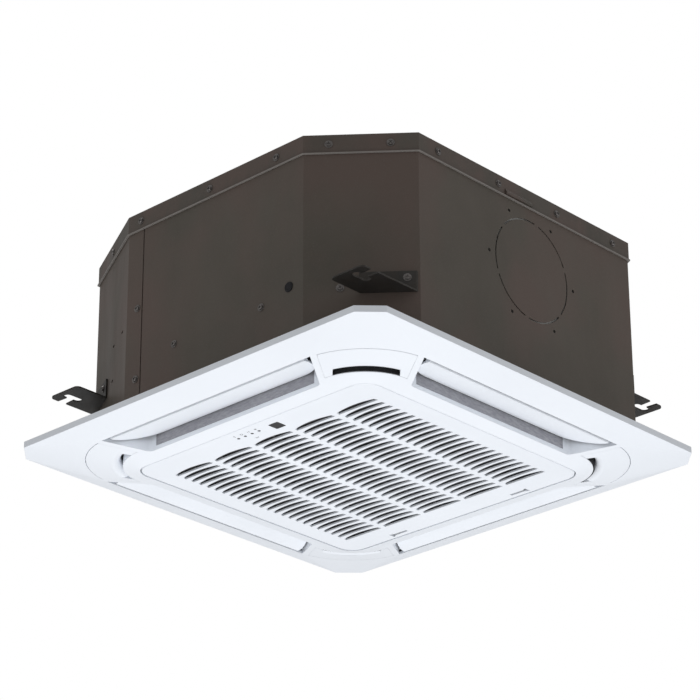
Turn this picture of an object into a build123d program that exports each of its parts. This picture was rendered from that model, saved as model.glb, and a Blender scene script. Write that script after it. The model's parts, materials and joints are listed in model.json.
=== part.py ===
from build123d import *
from math import cos, hypot, radians, sin
import os

os.makedirs("parts", exist_ok=True)

# The origin is the centre of the four hanger slots, z = 0 is the underside of the hanger plates,
# +Z is up, +Y is the back, and the ceiling lies hanger_rise below the plates.
hanger_rise = 68.0
ceiling_z = -hanger_rise

# ceiling panel
panel_half = 323.5
panel_cut = 27.5
rim_z = ceiling_z - 8.4
groove_z = ceiling_z - 19.0
groove_half = 285.0
groove_round = 107.0
inner_z = ceiling_z - 28.3
inner_half = 231.0
inner_round = 56.0
face_z = ceiling_z - 32.5
opening_half = 210.0
opening_round = 26.0
shell_wall = 2.6
lip_rise = 3.2
lip_wall = 2.4
seat_gap = 0.3
slide_gap = 0.4

# air outlets
outlet_outer = 285.0
outlet_inner = 231.0
outlet_outer_half = 187.0
outlet_inner_half = 152.0
outlet_corner = 9.0
outlet_slant = (outlet_outer_half - outlet_inner_half) / (outlet_outer - outlet_inner)
band_width = 9.0
neck_outer = 274.0
cheek_half = 142.0
cheek_top = ceiling_z + 8.0

# corner covers and their arc slots
corner_centre = 168.0
slot_round = 71.5
slot_reach = 41.2
roll_centre = 85.6
roll_r = 11.0
roll_wall = 2.4
roll_tilt = 9.7
roll_z = ceiling_z - 13.7
roll_rise = 3.0
end_wall = 2.0
cover_gap = 0.4
seam_gap = 0.8
side_gap = 0.12
seam_dot_r = 1.3
ledge_width = 3.0
strip_wall = 2.0
strip_z = ceiling_z - 26.4
foam_low = ceiling_z - 9.8

# louvres
louvre_wall = 2.5
louvre_outer = outlet_outer - 0.5
louvre_inner = outlet_inner + 4.0
louvre_outer_half = 174.0
louvre_inner_half = 125.0
louvre_end = 6.0
louvre_rest = 23.0
pivot_x = outlet_outer - 3.0
pivot_z = ceiling_z - 11.0
pivot_r = 2.0
pivot_fit = 0.05
arm_wall = 2.5
bush_r = 5.0
motor_r = 10.0
motor_long = 15.0

# duct frame and gasket
deck_z = ceiling_z + 17.5
deck_wall = 2.5
deck_half = 283.0
deck_cut = 64.0
duct_wall = 2.2
duct_opening = 214.0
gasket_wall = 3.4
panel_screw_x = 222.0
panel_screw_y = 60.0

# grille
grille_gap = 1.2
grille_half = opening_half - grille_gap
grille_round = 25.0
grille_wall = 2.5
skirt_z = face_z + 7.5
grille_edge = 2.0
slot_rows = 24
slot_columns = 5
slot_pitch_x = 14.03
slot_first_x = -slot_pitch_x * (slot_rows - 1) / 2
slot_pitch_y = 73.2
slot_long = 66.0
slot_wide = 9.0
slot_bow = 4.0
slot_lean = 0.95
hinge_x = -opening_half - 15.3
hinge_z = face_z + 7.0
hinge_r = 1.5
hinge_fit = 0.05
hinge_y = 130.0
hinge_arm = 3.0
hinge_arm_rise = 20.3
hinge_arm_reach = 21.5
hinge_cheek = 2.4
hinge_side_gap = 0.6
lamp_x = -189.2
lamp_ys = (32.2, 20.2, 7.8, -4.6)
lamp_r = 2.0
lamp_gap = 0.1
window_y = -33.4
window_x = -185.9
window_side = 16.6
window_round = 1.5
latch_x = 198.0
latch_y = 108.0
latch_travel = 8.0
latch_wide = 16.0
latch_long = 40.0
latch_wall = 2.7
latch_gap = 0.3
finger_wide = 2.2
filter_min_x = -172.0
filter_max_x = 185.0
filter_half_y = 196.0
filter_wall = 5.0
filter_rim = 8.0

# casing
casing_half = 285.0
casing_z = ceiling_z + 24.0
casing_top = ceiling_z + 288.0
sheet = 1.0
seam_y = 118.0
seam_groove = 2.0
lap = 18.0
lid_sheet = 1.2
lid_gap = 0.4
lid_flange = 27.0
hem = 1.4
knock_x = 24.0
knock_z = 106.6
knock_r = 71.0
knock_slit = 2.0
duct_pcd_r = 83.5
duct_hole_r = 2.4
casing_corners = (
    (-192.0, -casing_half), (229.0, -casing_half), (casing_half, -165.0), (casing_half, 175.0),
    (192.0, casing_half), (-212.0, casing_half), (-casing_half, 146.0), (-casing_half, -175.0),
)

# hangers
rod_x = 272.5
rod_y = 261.5
rod_slot_r = 5.5
rod_slot_long = 28.0
hanger_sheet = 2.0
hanger_out_x = 294.0
hanger_in_x = 190.0
hanger_out_y = 283.0
hanger_in_y = 229.0
hanger_flange = 28.0

# screws
screw_r = 1.9
screw_fit = 0.15
screw_head_r = 3.5
screw_flange_r = 5.2
lid_screw_z = casing_top + 2.0 - lid_flange / 2
hanger_screw_z = 19.0

# inside
liner_wall = 12.0
pan_top = ceiling_z + 64.0
pan_slot_outer = 272.0
pan_slot_inner = 236.0
trough_z = ceiling_z + 40.0
trough_outer = 230.0
trough_inner = 194.0
coil_outer = 225.0
coil_wall = 26.0
coil_round = 60.0
coil_bottom = ceiling_z + 42.0
coil_top = ceiling_z + 252.0
coil_end = 150.0
fan_r = 165.0
fan_bottom = ceiling_z + 80.0
fan_top = ceiling_z + 190.0
fan_eye_r = 112.0
mouth_r = 104.0
blade_count = 7
shaft_r = 4.0
shaft_fit = 0.05
motor_body_r = 62.0
motor_z = ceiling_z + 197.0
motor_top = ceiling_z + 258.0
bracket_z = ceiling_z + 268.0
pump_x = 202.0
pump_y = 202.0
float_x = 168.0
float_y = 212.0
float_r = 8.0
float_fit = 0.06
float_stem_r = 3.0
drain_y = 156.0
drain_z = ceiling_z + 205.0
drain_r = 16.0
drain_reach = 326.0
gas_y = -60.0
gas_z = ceiling_z + 178.0
gas_r = 6.35
liquid_y = -100.0
liquid_z = ceiling_z + 150.0
liquid_r = 3.2
pipe_reach = 318.0
gas_nut_r = 8.0
liquid_nut_r = 5.2


def soft_square(half, corner, z):
    with BuildSketch(Plane.XY.offset(z)) as outline:
        Rectangle(2 * half, 2 * half)
        fillet(outline.vertices(), corner)
    return outline.sketch


def cut_square(half, cut, z):
    with BuildSketch(Plane.XY.offset(z)) as outline:
        Rectangle(2 * half, 2 * half)
        chamfer(outline.vertices(), cut)
    return outline.sketch


# the panel's outer skin, its rim drawn in by inset and everything lifted by lift
def panel_sections(inset, lift, top):
    return [
        cut_square(panel_half - inset, panel_cut - 0.59 * inset, top),
        cut_square(panel_half - inset, panel_cut - 0.59 * inset, rim_z + lift),
        soft_square(groove_half, groove_round, groove_z + lift),
        soft_square(inner_half, inner_round, inner_z + lift),
        soft_square(opening_half, opening_round, face_z + lift),
    ]


def outlet_half(x, grow):
    return outlet_inner_half + outlet_slant * (x - outlet_inner) + grow * hypot(1, outlet_slant)


def outlets(grow, outer, inner, z):
    with BuildSketch(Plane.XY.offset(z)) as holes:
        with PolarLocations(0, 4):
            Polygon(
                (-outer - grow, -outlet_half(outer + grow, grow)),
                (-inner + grow, -outlet_half(inner - grow, grow)),
                (-inner + grow, outlet_half(inner - grow, grow)),
                (-outer - grow, outlet_half(outer + grow, grow)),
                align=None,
            )
        corners = holes.vertices()
        inner_corners = [corner for corner in corners if max(abs(corner.X), abs(corner.Y)) < inner + 5]
        fillet(inner_corners, outlet_corner + grow)
    return holes.sketch


# both ends of every outlet, beyond start from its middle
def outlet_ends(start, z):
    with BuildSketch(Plane.XY.offset(z)) as ends:
        with PolarLocations(0, 4):
            for side in (-1, 1):
                with Locations((-(outlet_outer + outlet_inner) / 2, side * (start + 35.0))):
                    Rectangle(outlet_outer - outlet_inner + 20, 70)
    return ends.sketch


# the four corner fields, each side grown by its own amount: the seam arc, the bands beside the
# outlets and the inner arc
def corner_fields(arc, side, inner, z):
    far = 300.0
    near = 220.0
    with BuildSketch(Plane.XY.offset(z)) as fields:
        with PolarLocations(0, 4):
            Polygon(
                (near, outlet_half(near, band_width - side)),
                (far, outlet_half(far, band_width - side)),
                (far, far),
                (outlet_half(far, band_width - side), far),
                (outlet_half(near, band_width - side), near),
                align=None,
            )
        add(soft_square(groove_half + arc, groove_round + arc, z), mode=Mode.INTERSECT)
        add(soft_square(corner_centre + slot_round - inner, slot_round - inner, z), mode=Mode.SUBTRACT)
    return fields.sketch


def corner_discs(radius, z):
    with BuildSketch(Plane.XY.offset(z)) as discs:
        with GridLocations(2 * corner_centre, 2 * corner_centre, 2, 2):
            Circle(radius)
    return discs.sketch


# a strip across each corner's diagonal, from the corner centre out to radius
def slot_zone(radius, half, z):
    with BuildSketch(Plane.XY.offset(z)) as zone:
        with PolarLocations(hypot(corner_centre, corner_centre), 4, start_angle=45):
            Rectangle(140, 2 * half, align=(Align.MIN, Align.CENTER))
        add(corner_discs(radius, z), mode=Mode.INTERSECT)
    return zone.sketch


# small round notches at the middle and the ends of each seam arc
def seam_dots(z):
    bend = groove_half - groove_round
    with BuildSketch(Plane.XY.offset(z)) as dots:
        with PolarLocations(0, 4):
            for turn in (10.1, 45.0, 79.9):
                with Locations((bend + groove_round * cos(radians(turn)), bend + groove_round * sin(radians(turn)))):
                    Circle(seam_dot_r)
    return dots.sketch


def screw_discs(radius, z):
    with BuildSketch(Plane.XY.offset(z)) as discs:
        with PolarLocations(0, 4):
            with Locations((panel_screw_x, panel_screw_y), (panel_screw_x, -panel_screw_y)):
                Circle(radius)
    return discs.sketch


def casing_outline(grow, z):
    with BuildSketch(Plane.XY.offset(z)) as outline:
        Polygon(*casing_corners, align=None)
        if grow != 0:
            offset(amount=grow, kind=Kind.INTERSECTION)
    return outline.sketch


def wall_plane(x, y, z, out_x, out_y):
    return Plane(origin=(x, y, z), x_dir=(-out_y, out_x, 0), z_dir=(out_x, out_y, 0))


# screw places on the lid flange: x, y on the casing wall and the direction the wall faces
def chamfer_point(first, second, share):
    x = first[0] + (second[0] - first[0]) * share
    y = first[1] + (second[1] - first[1]) * share
    run = hypot(second[0] - first[0], second[1] - first[1])
    return (x, y, (second[1] - first[1]) / run, (first[0] - second[0]) / run)


near_left = (casing_corners[7], casing_corners[0])
near_right = (casing_corners[1], casing_corners[2])
far_right = (casing_corners[3], casing_corners[4])
far_left = (casing_corners[5], casing_corners[6])
lid_spots = [(-casing_half, y, -1, 0) for y in (121.8, -7.9, -128.5)]
lid_spots += [(x, -casing_half, 0, -1) for x in (-156.8, -39.7, 77.4, 194.8)]
lid_spots += [(casing_half, y, 1, 0) for y in (-128.5, 0.0, 121.8)]
lid_spots += [(x, casing_half, 0, 1) for x in (-156.8, -39.7, 77.4, 160.0)]
lid_spots += [chamfer_point(*near_left, share) for share in (0.22, 0.76)]
lid_spots += [chamfer_point(*pair, 0.5) for pair in (near_right, far_right, far_left)]
hanger_spots = [chamfer_point(*near_left, share) for share in (0.62, 0.89)]
hanger_spots += [chamfer_point(*near_right, share) for share in (0.12, 0.36)]
hanger_spots += [chamfer_point(*far_right, share) for share in (0.62, 0.89)]
hanger_spots += [chamfer_point(*far_left, share) for share in (0.12, 0.32)]
wall_spots = [(-casing_half, -102.2, 7.3, -1, 0)]
near_spot = chamfer_point(*near_left, 0.315)
wall_spots += [(near_spot[0], near_spot[1], 8.1, near_spot[2], near_spot[3])]
seam_screw_zs = (81.9, -19.1)
seam_spots = [(-casing_half, seam_y + 8.0, -1, 0), (casing_half, seam_y + 8.0, 1, 0)]


# ---- casing ----

with BuildPart() as top_plate:
    extrude(casing_outline(lid_gap + lid_sheet, casing_top + 2.0 - lid_flange), lid_flange)
    extrude(casing_outline(lid_gap, casing_top + 2.0 - lid_flange), lid_flange - lid_sheet, mode=Mode.SUBTRACT)
    # hem along the flange's lower edge
    extrude(casing_outline(lid_gap + lid_sheet + hem, casing_top + 2.0 - lid_flange), 1.5 * hem)
    extrude(casing_outline(lid_gap, casing_top + 2.0 - lid_flange), 1.5 * hem, mode=Mode.SUBTRACT)
    # pressed bead across the top, for stiffness
    with BuildSketch(Plane.XY.offset(casing_top + 2.0)):
        RectangleRounded(400, 400, 60)
        RectangleRounded(384, 384, 52, mode=Mode.SUBTRACT)
    extrude(amount=2.5)
    with BuildSketch(Plane.XY.offset(casing_top + 2.0)):
        Circle(95)
        Circle(87, mode=Mode.SUBTRACT)
    extrude(amount=2.5)
    # lanced tab of the front flange
    with BuildSketch(Plane.YZ.offset(-27.0)):
        with BuildLine():
            Polyline(
                (-casing_half - lid_gap, casing_top - 22.0),
                (-casing_half - lid_gap - 4.6, casing_top - 22.0),
                (-casing_half - lid_gap - 4.6, casing_top - 19.0),
                (-casing_half - lid_gap - 0.6, casing_top - 12.0),
                (-casing_half - lid_gap, casing_top - 12.0),
                close=True,
            )
        make_face()
    extrude(amount=52.0)
    for x, y, out_x, out_y in lid_spots:
        with BuildSketch(wall_plane(x, y, lid_screw_z, out_x, out_y)):
            Circle(screw_r + screw_fit)
        extrude(amount=6.0, mode=Mode.SUBTRACT)
top_plate.part.label = "top_plate"
export_step(top_plate.part, "parts/top_plate.step")

with BuildPart() as casing_wrap:
    extrude(casing_outline(0, casing_z), casing_top - casing_z)
    extrude(casing_outline(-sheet, casing_z), casing_top - casing_z, mode=Mode.SUBTRACT)
    for x, y, out_x, out_y in lid_spots:
        with BuildSketch(wall_plane(x, y, lid_screw_z, out_x, out_y)):
            Circle(screw_r + screw_fit)
        extrude(amount=-4.0, mode=Mode.SUBTRACT)
    for x, y, out_x, out_y in hanger_spots:
        with BuildSketch(wall_plane(x, y, hanger_screw_z, out_x, out_y)):
            Circle(screw_r + screw_fit)
        extrude(amount=-4.0, mode=Mode.SUBTRACT)

with BuildPart() as casing_front:
    add(casing_wrap.part)
    with BuildSketch(Plane.XY.offset(casing_z - 1.0)):
        with Locations((0, seam_y - seam_groove)):
            Rectangle(800, 400, align=(Align.CENTER, Align.MIN))
    extrude(amount=casing_top - casing_z + 2.0, mode=Mode.SUBTRACT)
    # joggled tongues under the rear sheet
    with BuildSketch(Plane.XY.offset(casing_z)):
        for side in (-1, 1):
            with Locations((side * (casing_half - 1.5 * sheet - seat_gap), seam_y - 10.0)):
                Rectangle(sheet, lap + 10.0, align=(Align.CENTER, Align.MIN))
            with Locations((side * (casing_half - sheet - seat_gap), seam_y - 10.0)):
                Rectangle(1.6 * sheet, 5.0, align=(Align.CENTER, Align.MIN))
    extrude(amount=casing_top - casing_z - 26.0)
    # knock-out for fresh air, held by narrow tabs, and the duct's screw holes
    with BuildSketch(wall_plane(knock_x, -casing_half, knock_z, 0, -1)):
        Circle(knock_r + knock_slit / 2)
        Circle(knock_r - knock_slit / 2, mode=Mode.SUBTRACT)
        with PolarLocations(knock_r, 6, start_angle=20):
            Rectangle(8, 7, mode=Mode.SUBTRACT)
    extrude(amount=-3.0, mode=Mode.SUBTRACT)
    with BuildSketch(wall_plane(knock_x, -casing_half, knock_z, 0, -1)):
        with PolarLocations(duct_pcd_r, 6):
            Circle(duct_hole_r)
    extrude(amount=-3.0, mode=Mode.SUBTRACT)
    # pierced marks of the left wall
    with BuildSketch(wall_plane(-casing_half, 0, 0, -1, 0)):
        with Locations((-54.5, 8.1)):
            Circle(2.2)
        with Locations((150.8, 19.1)):
            Circle(6.2)
    extrude(amount=-3.0, mode=Mode.SUBTRACT)
    for x, y, z, out_x, out_y in wall_spots:
        with BuildSketch(wall_plane(x, y, z, out_x, out_y)):
            Circle(screw_r + screw_fit)
        extrude(amount=-4.0, mode=Mode.SUBTRACT)
    for z in seam_screw_zs:
        for x, y, out_x, out_y in seam_spots:
            with BuildSketch(wall_plane(x, y, z, out_x, out_y)):
                Circle(screw_r + screw_fit)
            extrude(amount=-4.0, mode=Mode.SUBTRACT)
    # opening behind the pipe plate
    with BuildSketch(wall_plane(casing_half, (gas_y + liquid_y) / 2, (gas_z + liquid_z) / 2, 1, 0)):
        RectangleRounded(90, 74, 8)
    extrude(amount=-3.0, mode=Mode.SUBTRACT)
casing_front.part.label = "casing_front"
export_step(casing_front.part, "parts/casing_front.step")

with BuildPart() as casing_rear:
    add(casing_wrap.part)
    with BuildSketch(Plane.XY.offset(casing_z - 1.0)):
        with Locations((0, seam_y)):
            Rectangle(800, 500, align=(Align.CENTER, Align.MAX))
    extrude(amount=casing_top - casing_z + 2.0, mode=Mode.SUBTRACT)
    for z in seam_screw_zs:
        for x, y, out_x, out_y in seam_spots:
            with BuildSketch(wall_plane(x, y, z, out_x, out_y)):
                Circle(screw_r + screw_fit)
            extrude(amount=-1.15, mode=Mode.SUBTRACT)
    # slots pierced in the rear left chamfer
    for share, z in ((0.86, 64.4), (0.58, 63.5), (0.57, 13.4)):
        x, y, out_x, out_y = chamfer_point(*far_left, share)
        with BuildSketch(wall_plane(x, y, z, out_x, out_y)):
            SlotOverall(8, 3.4)
        extrude(amount=-3.0, mode=Mode.SUBTRACT)
    # hole for the drain outlet
    with BuildSketch(wall_plane(casing_half, drain_y, drain_z, 1, 0)):
        Circle(drain_r + slide_gap)
    extrude(amount=-3.0, mode=Mode.SUBTRACT)
casing_rear.part.label = "casing_rear"
export_step(casing_rear.part, "parts/casing_rear.step")

# hanger brackets: slotted plate outside each cut-off corner, flange screwed to the casing
with BuildPart() as brackets:
    with BuildSketch(Plane.XY):
        with GridLocations(hanger_in_x + hanger_out_x, hanger_in_y + hanger_out_y, 2, 2):
            RectangleRounded(hanger_out_x - hanger_in_x, hanger_out_y - hanger_in_y, 7)
        add(casing_outline(seat_gap, 0), mode=Mode.SUBTRACT)
    extrude(amount=hanger_sheet)
    with BuildSketch(Plane.XY):
        with GridLocations(hanger_in_x + hanger_out_x, hanger_in_y + hanger_out_y, 2, 2):
            Rectangle(hanger_out_x - hanger_in_x, hanger_out_y - hanger_in_y)
        add(casing_outline(seat_gap + hanger_sheet, 0), mode=Mode.INTERSECT)
        add(casing_outline(seat_gap, 0), mode=Mode.SUBTRACT)
    extrude(amount=hanger_flange)
    # T slots, open towards the front and the back
    with BuildSketch(Plane.XY.offset(-1.0)):
        with GridLocations(2 * rod_x, 2 * rod_y, 2, 2):
            SlotOverall(rod_slot_long, 2 * rod_slot_r)
        for side in (-1, 1):
            with GridLocations(2 * rod_x, 0, 2, 1):
                Polygon(
                    (-rod_slot_r, side * rod_y), (rod_slot_r, side * rod_y),
                    (rod_slot_r + 1.5, side * (hanger_out_y + 2)), (-rod_slot_r - 1.5, side * (hanger_out_y + 2)),
                    align=None,
                )
    extrude(amount=hanger_sheet + 2.0, mode=Mode.SUBTRACT)
    for x, y, out_x, out_y in hanger_spots:
        with BuildSketch(wall_plane(x, y, hanger_screw_z, out_x, out_y)):
            Circle(screw_r + screw_fit)
        extrude(amount=6.0, mode=Mode.SUBTRACT)

with BuildPart() as hanger_front_left:
    add(brackets.part)
    with Locations((-400, -400, 0)):
        Box(800, 800, 200, mode=Mode.INTERSECT)
hanger_front_left.part.label = "hanger_front_left"
export_step(hanger_front_left.part, "parts/hanger_front_left.step")

with BuildPart() as hanger_front_right:
    add(brackets.part)
    with Locations((400, -400, 0)):
        Box(800, 800, 200, mode=Mode.INTERSECT)
hanger_front_right.part.label = "hanger_front_right"
export_step(hanger_front_right.part, "parts/hanger_front_right.step")

with BuildPart() as hanger_back_left:
    add(brackets.part)
    with Locations((-400, 400, 0)):
        Box(800, 800, 200, mode=Mode.INTERSECT)
hanger_back_left.part.label = "hanger_back_left"
export_step(hanger_back_left.part, "parts/hanger_back_left.step")

with BuildPart() as hanger_back_right:
    add(brackets.part)
    with Locations((400, 400, 0)):
        Box(800, 800, 200, mode=Mode.INTERSECT)
hanger_back_right.part.label = "hanger_back_right"
export_step(hanger_back_right.part, "parts/hanger_back_right.step")

with BuildPart() as casing_screws:
    seats = []
    for x, y, out_x, out_y in lid_spots:
        seats += [wall_plane(x, y, lid_screw_z, out_x, out_y).offset(lid_gap + lid_sheet)]
    for x, y, out_x, out_y in hanger_spots:
        seats += [wall_plane(x, y, hanger_screw_z, out_x, out_y).offset(seat_gap + hanger_sheet)]
    seats += [wall_plane(x, y, z, out_x, out_y) for x, y, out_x, out_y in seam_spots for z in seam_screw_zs]
    seats += [wall_plane(*spot) for spot in wall_spots]
    with Locations(*[seat.offset(0.05) for seat in seats]):
        Cylinder(screw_flange_r, 0.8, align=(Align.CENTER, Align.CENTER, Align.MIN))
        Cylinder(screw_head_r, 2.6, align=(Align.CENTER, Align.CENTER, Align.MIN))
        Cylinder(screw_r, 3.5, align=(Align.CENTER, Align.CENTER, Align.MAX))
casing_screws.part.label = "casing_screws"
export_step(casing_screws.part, "parts/casing_screws.step")

with BuildPart() as foam_liner:
    extrude(casing_outline(-3.6, pan_top + seat_gap), casing_top - 1.0 - pan_top)
    extrude(casing_outline(-3.6 - liner_wall, pan_top), casing_top - 1.0 - liner_wall - pan_top, mode=Mode.SUBTRACT)
    with Locations((0, 0, casing_top)):
        Cylinder(100, 60, mode=Mode.SUBTRACT)
    with BuildSketch(wall_plane(casing_half, drain_y, drain_z, 1, 0)):
        Circle(drain_r + 1.0)
    extrude(amount=-30.0, mode=Mode.SUBTRACT)
    with BuildSketch(wall_plane(casing_half, (gas_y + liquid_y) / 2, (gas_z + liquid_z) / 2, 1, 0)):
        RectangleRounded(90, 74, 8)
    extrude(amount=-30.0, mode=Mode.SUBTRACT)
    # relief behind the fresh-air duct's screw holes
    with BuildSketch(wall_plane(knock_x, -casing_half, knock_z, 0, -1)):
        with PolarLocations(duct_pcd_r, 6):
            Circle(duct_hole_r + 1.0)
    extrude(amount=-12.0, mode=Mode.SUBTRACT)
foam_liner.part.label = "foam_liner"
export_step(foam_liner.part, "parts/foam_liner.step")

# ---- heat exchanger, drain and fan ----

with BuildPart() as drain_pan:
    extrude(casing_outline(-3.6, casing_z), pan_top - casing_z)
    extrude(outlets(0, pan_slot_outer, pan_slot_inner, casing_z - 1.0), pan_top - casing_z + 2.0, mode=Mode.SUBTRACT)
    with BuildSketch(Plane.XY.offset(trough_z)):
        RectangleRounded(2 * trough_outer, 2 * trough_outer, coil_round + trough_outer - coil_outer)
        RectangleRounded(2 * trough_inner, 2 * trough_inner, 30, mode=Mode.SUBTRACT)
        with Locations((pump_x, pump_y)):
            Circle(25)
    extrude(amount=60.0, mode=Mode.SUBTRACT)
    with Locations((0, 0, casing_z)):
        Cylinder(158, 100, mode=Mode.SUBTRACT)
    # blind holes for the panel's screws
    extrude(screw_discs(2.6, casing_z - 1.0), amount=15.0, mode=Mode.SUBTRACT)
drain_pan.part.label = "drain_pan"
export_step(drain_pan.part, "parts/drain_pan.step")

with BuildPart() as coil_fins:
    with BuildSketch(Plane.XY.offset(coil_bottom)):
        RectangleRounded(2 * coil_outer, 2 * coil_outer, coil_round)
        RectangleRounded(2 * (coil_outer - coil_wall), 2 * (coil_outer - coil_wall), coil_round - coil_wall, mode=Mode.SUBTRACT)
        with Locations((coil_end, coil_end)):
            Rectangle(100, 100, align=(Align.MIN, Align.MIN), mode=Mode.SUBTRACT)
    extrude(amount=coil_top - coil_bottom)
coil_fins.part.label = "coil_fins"
export_step(coil_fins.part, "parts/coil_fins.step")

coil_mid = coil_outer - coil_wall / 2
tube_zs = [coil_bottom + 26.0 + 44.0 * step for step in range(5)]
with BuildPart() as coil_tubes:
    # return bends beyond both end plates
    for z in tube_zs[:4]:
        with BuildSketch(Plane(origin=(coil_end + 2.0, coil_mid - 6.5, z), x_dir=(0, 1, 0), z_dir=(1, 0, 0))):
            Circle(3.5)
            with Locations((13.0, 0)):
                Circle(3.5)
        extrude(amount=6.0)
        with BuildSketch(Plane(origin=(coil_end + 11.5, coil_mid, z), x_dir=(0, 1, 0), z_dir=(1, 0, 0))):
            SlotOverall(20.0, 7.0)
        extrude(amount=-7.0)
        with BuildSketch(Plane(origin=(coil_mid - 6.5, coil_end + 2.0, z), x_dir=(1, 0, 0), z_dir=(0, 1, 0))):
            Circle(3.5)
            with Locations((13.0, 0)):
                Circle(3.5)
        extrude(amount=6.0)
        with BuildSketch(Plane(origin=(coil_mid, coil_end + 11.5, z), x_dir=(1, 0, 0), z_dir=(0, 1, 0))):
            SlotOverall(20.0, 7.0)
        extrude(amount=-7.0)
coil_tubes.part.label = "coil_tubes"
export_step(coil_tubes.part, "parts/coil_tubes.step")

with BuildPart() as coil_plates:
    with Locations((coil_end + seat_gap, coil_mid, (coil_bottom + coil_top) / 2)):
        Box(1.4, coil_wall + 4, coil_top - coil_bottom, align=(Align.MIN, Align.CENTER, Align.CENTER))
    with Locations((coil_mid, coil_end + seat_gap, (coil_bottom + coil_top) / 2)):
        Box(coil_wall + 4, 1.4, coil_top - coil_bottom, align=(Align.CENTER, Align.MIN, Align.CENTER))
coil_plates.part.label = "coil_plates"
export_step(coil_plates.part, "parts/coil_plates.step")

with BuildPart() as bell_mouth:
    with BuildSketch(Plane.XY.offset(casing_z - seat_gap - 2.5)):
        RectangleRounded(410, 410, 30)
        Circle(150, mode=Mode.SUBTRACT)
    extrude(amount=2.5)
    with BuildSketch(Plane.XZ):
        with BuildLine():
            low = casing_z - seat_gap - 2.5
            Polyline((mouth_r, fan_bottom + 8), (mouth_r, fan_bottom - 12))
            RadiusArc((mouth_r, fan_bottom - 12), (mouth_r + 48, low), -48)
            Polyline((mouth_r + 48, low), (mouth_r + 48, low + 2.5))
            RadiusArc((mouth_r + 48, low + 2.5), (mouth_r + 2.5, fan_bottom - 12), 45.5)
            Polyline((mouth_r + 2.5, fan_bottom - 12), (mouth_r + 2.5, fan_bottom + 8), (mouth_r, fan_bottom + 8))
        make_face()
    revolve(axis=Axis.Z)
bell_mouth.part.label = "bell_mouth"
export_step(bell_mouth.part, "parts/bell_mouth.step")

with BuildPart() as fan_wheel:
    # shroud with its rolled eye
    with BuildSketch(Plane.XZ):
        with BuildLine():
            Polyline((fan_eye_r, fan_bottom), (fan_eye_r, fan_bottom + 12))
            RadiusArc((fan_eye_r, fan_bottom + 12), (fan_r, fan_bottom + 46.5), 56)
            Polyline((fan_r, fan_bottom + 46.5), (fan_r, fan_bottom + 44))
            RadiusArc((fan_r, fan_bottom + 44), (fan_eye_r + 2.5, fan_bottom + 12), -53.5)
            Polyline((fan_eye_r + 2.5, fan_bottom + 12), (fan_eye_r + 2.5, fan_bottom), (fan_eye_r, fan_bottom))
        make_face()
    revolve(axis=Axis.Z)
    # back plate with the hub cone
    with BuildSketch(Plane.XZ):
        with BuildLine():
            Polyline(
                (shaft_r + shaft_fit, fan_bottom + 46), (14, fan_bottom + 46), (14, fan_bottom + 56), (62, fan_top - 4),
                (fan_r, fan_top - 4), (fan_r, fan_top), (60, fan_top), (14, fan_bottom + 62),
                (14, fan_bottom + 74), (shaft_r + shaft_fit, fan_bottom + 74), close=True,
            )
        make_face()
    revolve(axis=Axis.Z)
    # backward-curved blades between them
    with BuildSketch(Plane.XY.offset(fan_bottom + 30)) as blade:
        with BuildLine():
            RadiusArc((112.5, 0), (126, 100), -130)
            Line((126, 100), (124, 102))
            RadiusArc((124, 102), (110, 0), 133)
            Line((110, 0), (112.5, 0))
        make_face()
    with BuildSketch(Plane.XY.offset(fan_bottom + 30)):
        with PolarLocations(0, blade_count):
            add(blade.sketch)
    extrude(amount=fan_top - 3 - fan_bottom - 30)
fan_wheel.part.label = "fan_wheel"
export_step(fan_wheel.part, "parts/fan_wheel.step")

with BuildPart() as fan_shaft:
    with BuildSketch(Plane.XY.offset(fan_bottom + 36)):
        Circle(shaft_r)
    extrude(amount=motor_z + 20 - fan_bottom - 36)
fan_shaft.part.label = "fan_shaft"
export_step(fan_shaft.part, "parts/fan_shaft.step")

with BuildPart() as fan_nut:
    with BuildSketch(Plane.XY.offset(fan_bottom + 46 - seat_gap - 7.0)):
        RegularPolygon(7.5, 6)
        Circle(shaft_r + shaft_fit, mode=Mode.SUBTRACT)
    extrude(amount=7.0)
fan_nut.part.label = "fan_nut"
export_step(fan_nut.part, "parts/fan_nut.step")

with BuildPart() as fan_motor:
    with BuildSketch(Plane.XY.offset(motor_z)):
        Circle(motor_body_r)
    extrude(amount=motor_top - motor_z)
    fillet(fan_motor.edges().filter_by(GeomType.CIRCLE), 6)
    with BuildSketch(Plane.XY.offset(motor_z - 10)):
        Circle(18)
    extrude(amount=14)
    with BuildSketch(Plane.XY.offset(motor_top - 3)):
        with PolarLocations(66, 4, start_angle=45):
            SlotOverall(44, 22)
    extrude(amount=3)
    with BuildSketch(Plane.XY.offset(motor_z - 11)):
        Circle(shaft_r + shaft_fit)
    extrude(amount=11 + 21, mode=Mode.SUBTRACT)
    with BuildSketch(Plane.XY.offset(motor_top - 10)):
        with PolarLocations(77, 4, start_angle=45):
            Circle(3.2)
    extrude(amount=12, mode=Mode.SUBTRACT)
fan_motor.part.label = "fan_motor"
export_step(fan_motor.part, "parts/fan_motor.step")

with BuildPart() as motor_mounts:
    with BuildSketch(Plane.XY.offset(motor_top + seat_gap)):
        with PolarLocations(77, 4, start_angle=45):
            Circle(9)
    extrude(amount=bracket_z - motor_top - 2 * seat_gap)
motor_mounts.part.label = "motor_mounts"
export_step(motor_mounts.part, "parts/motor_mounts.step")

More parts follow.
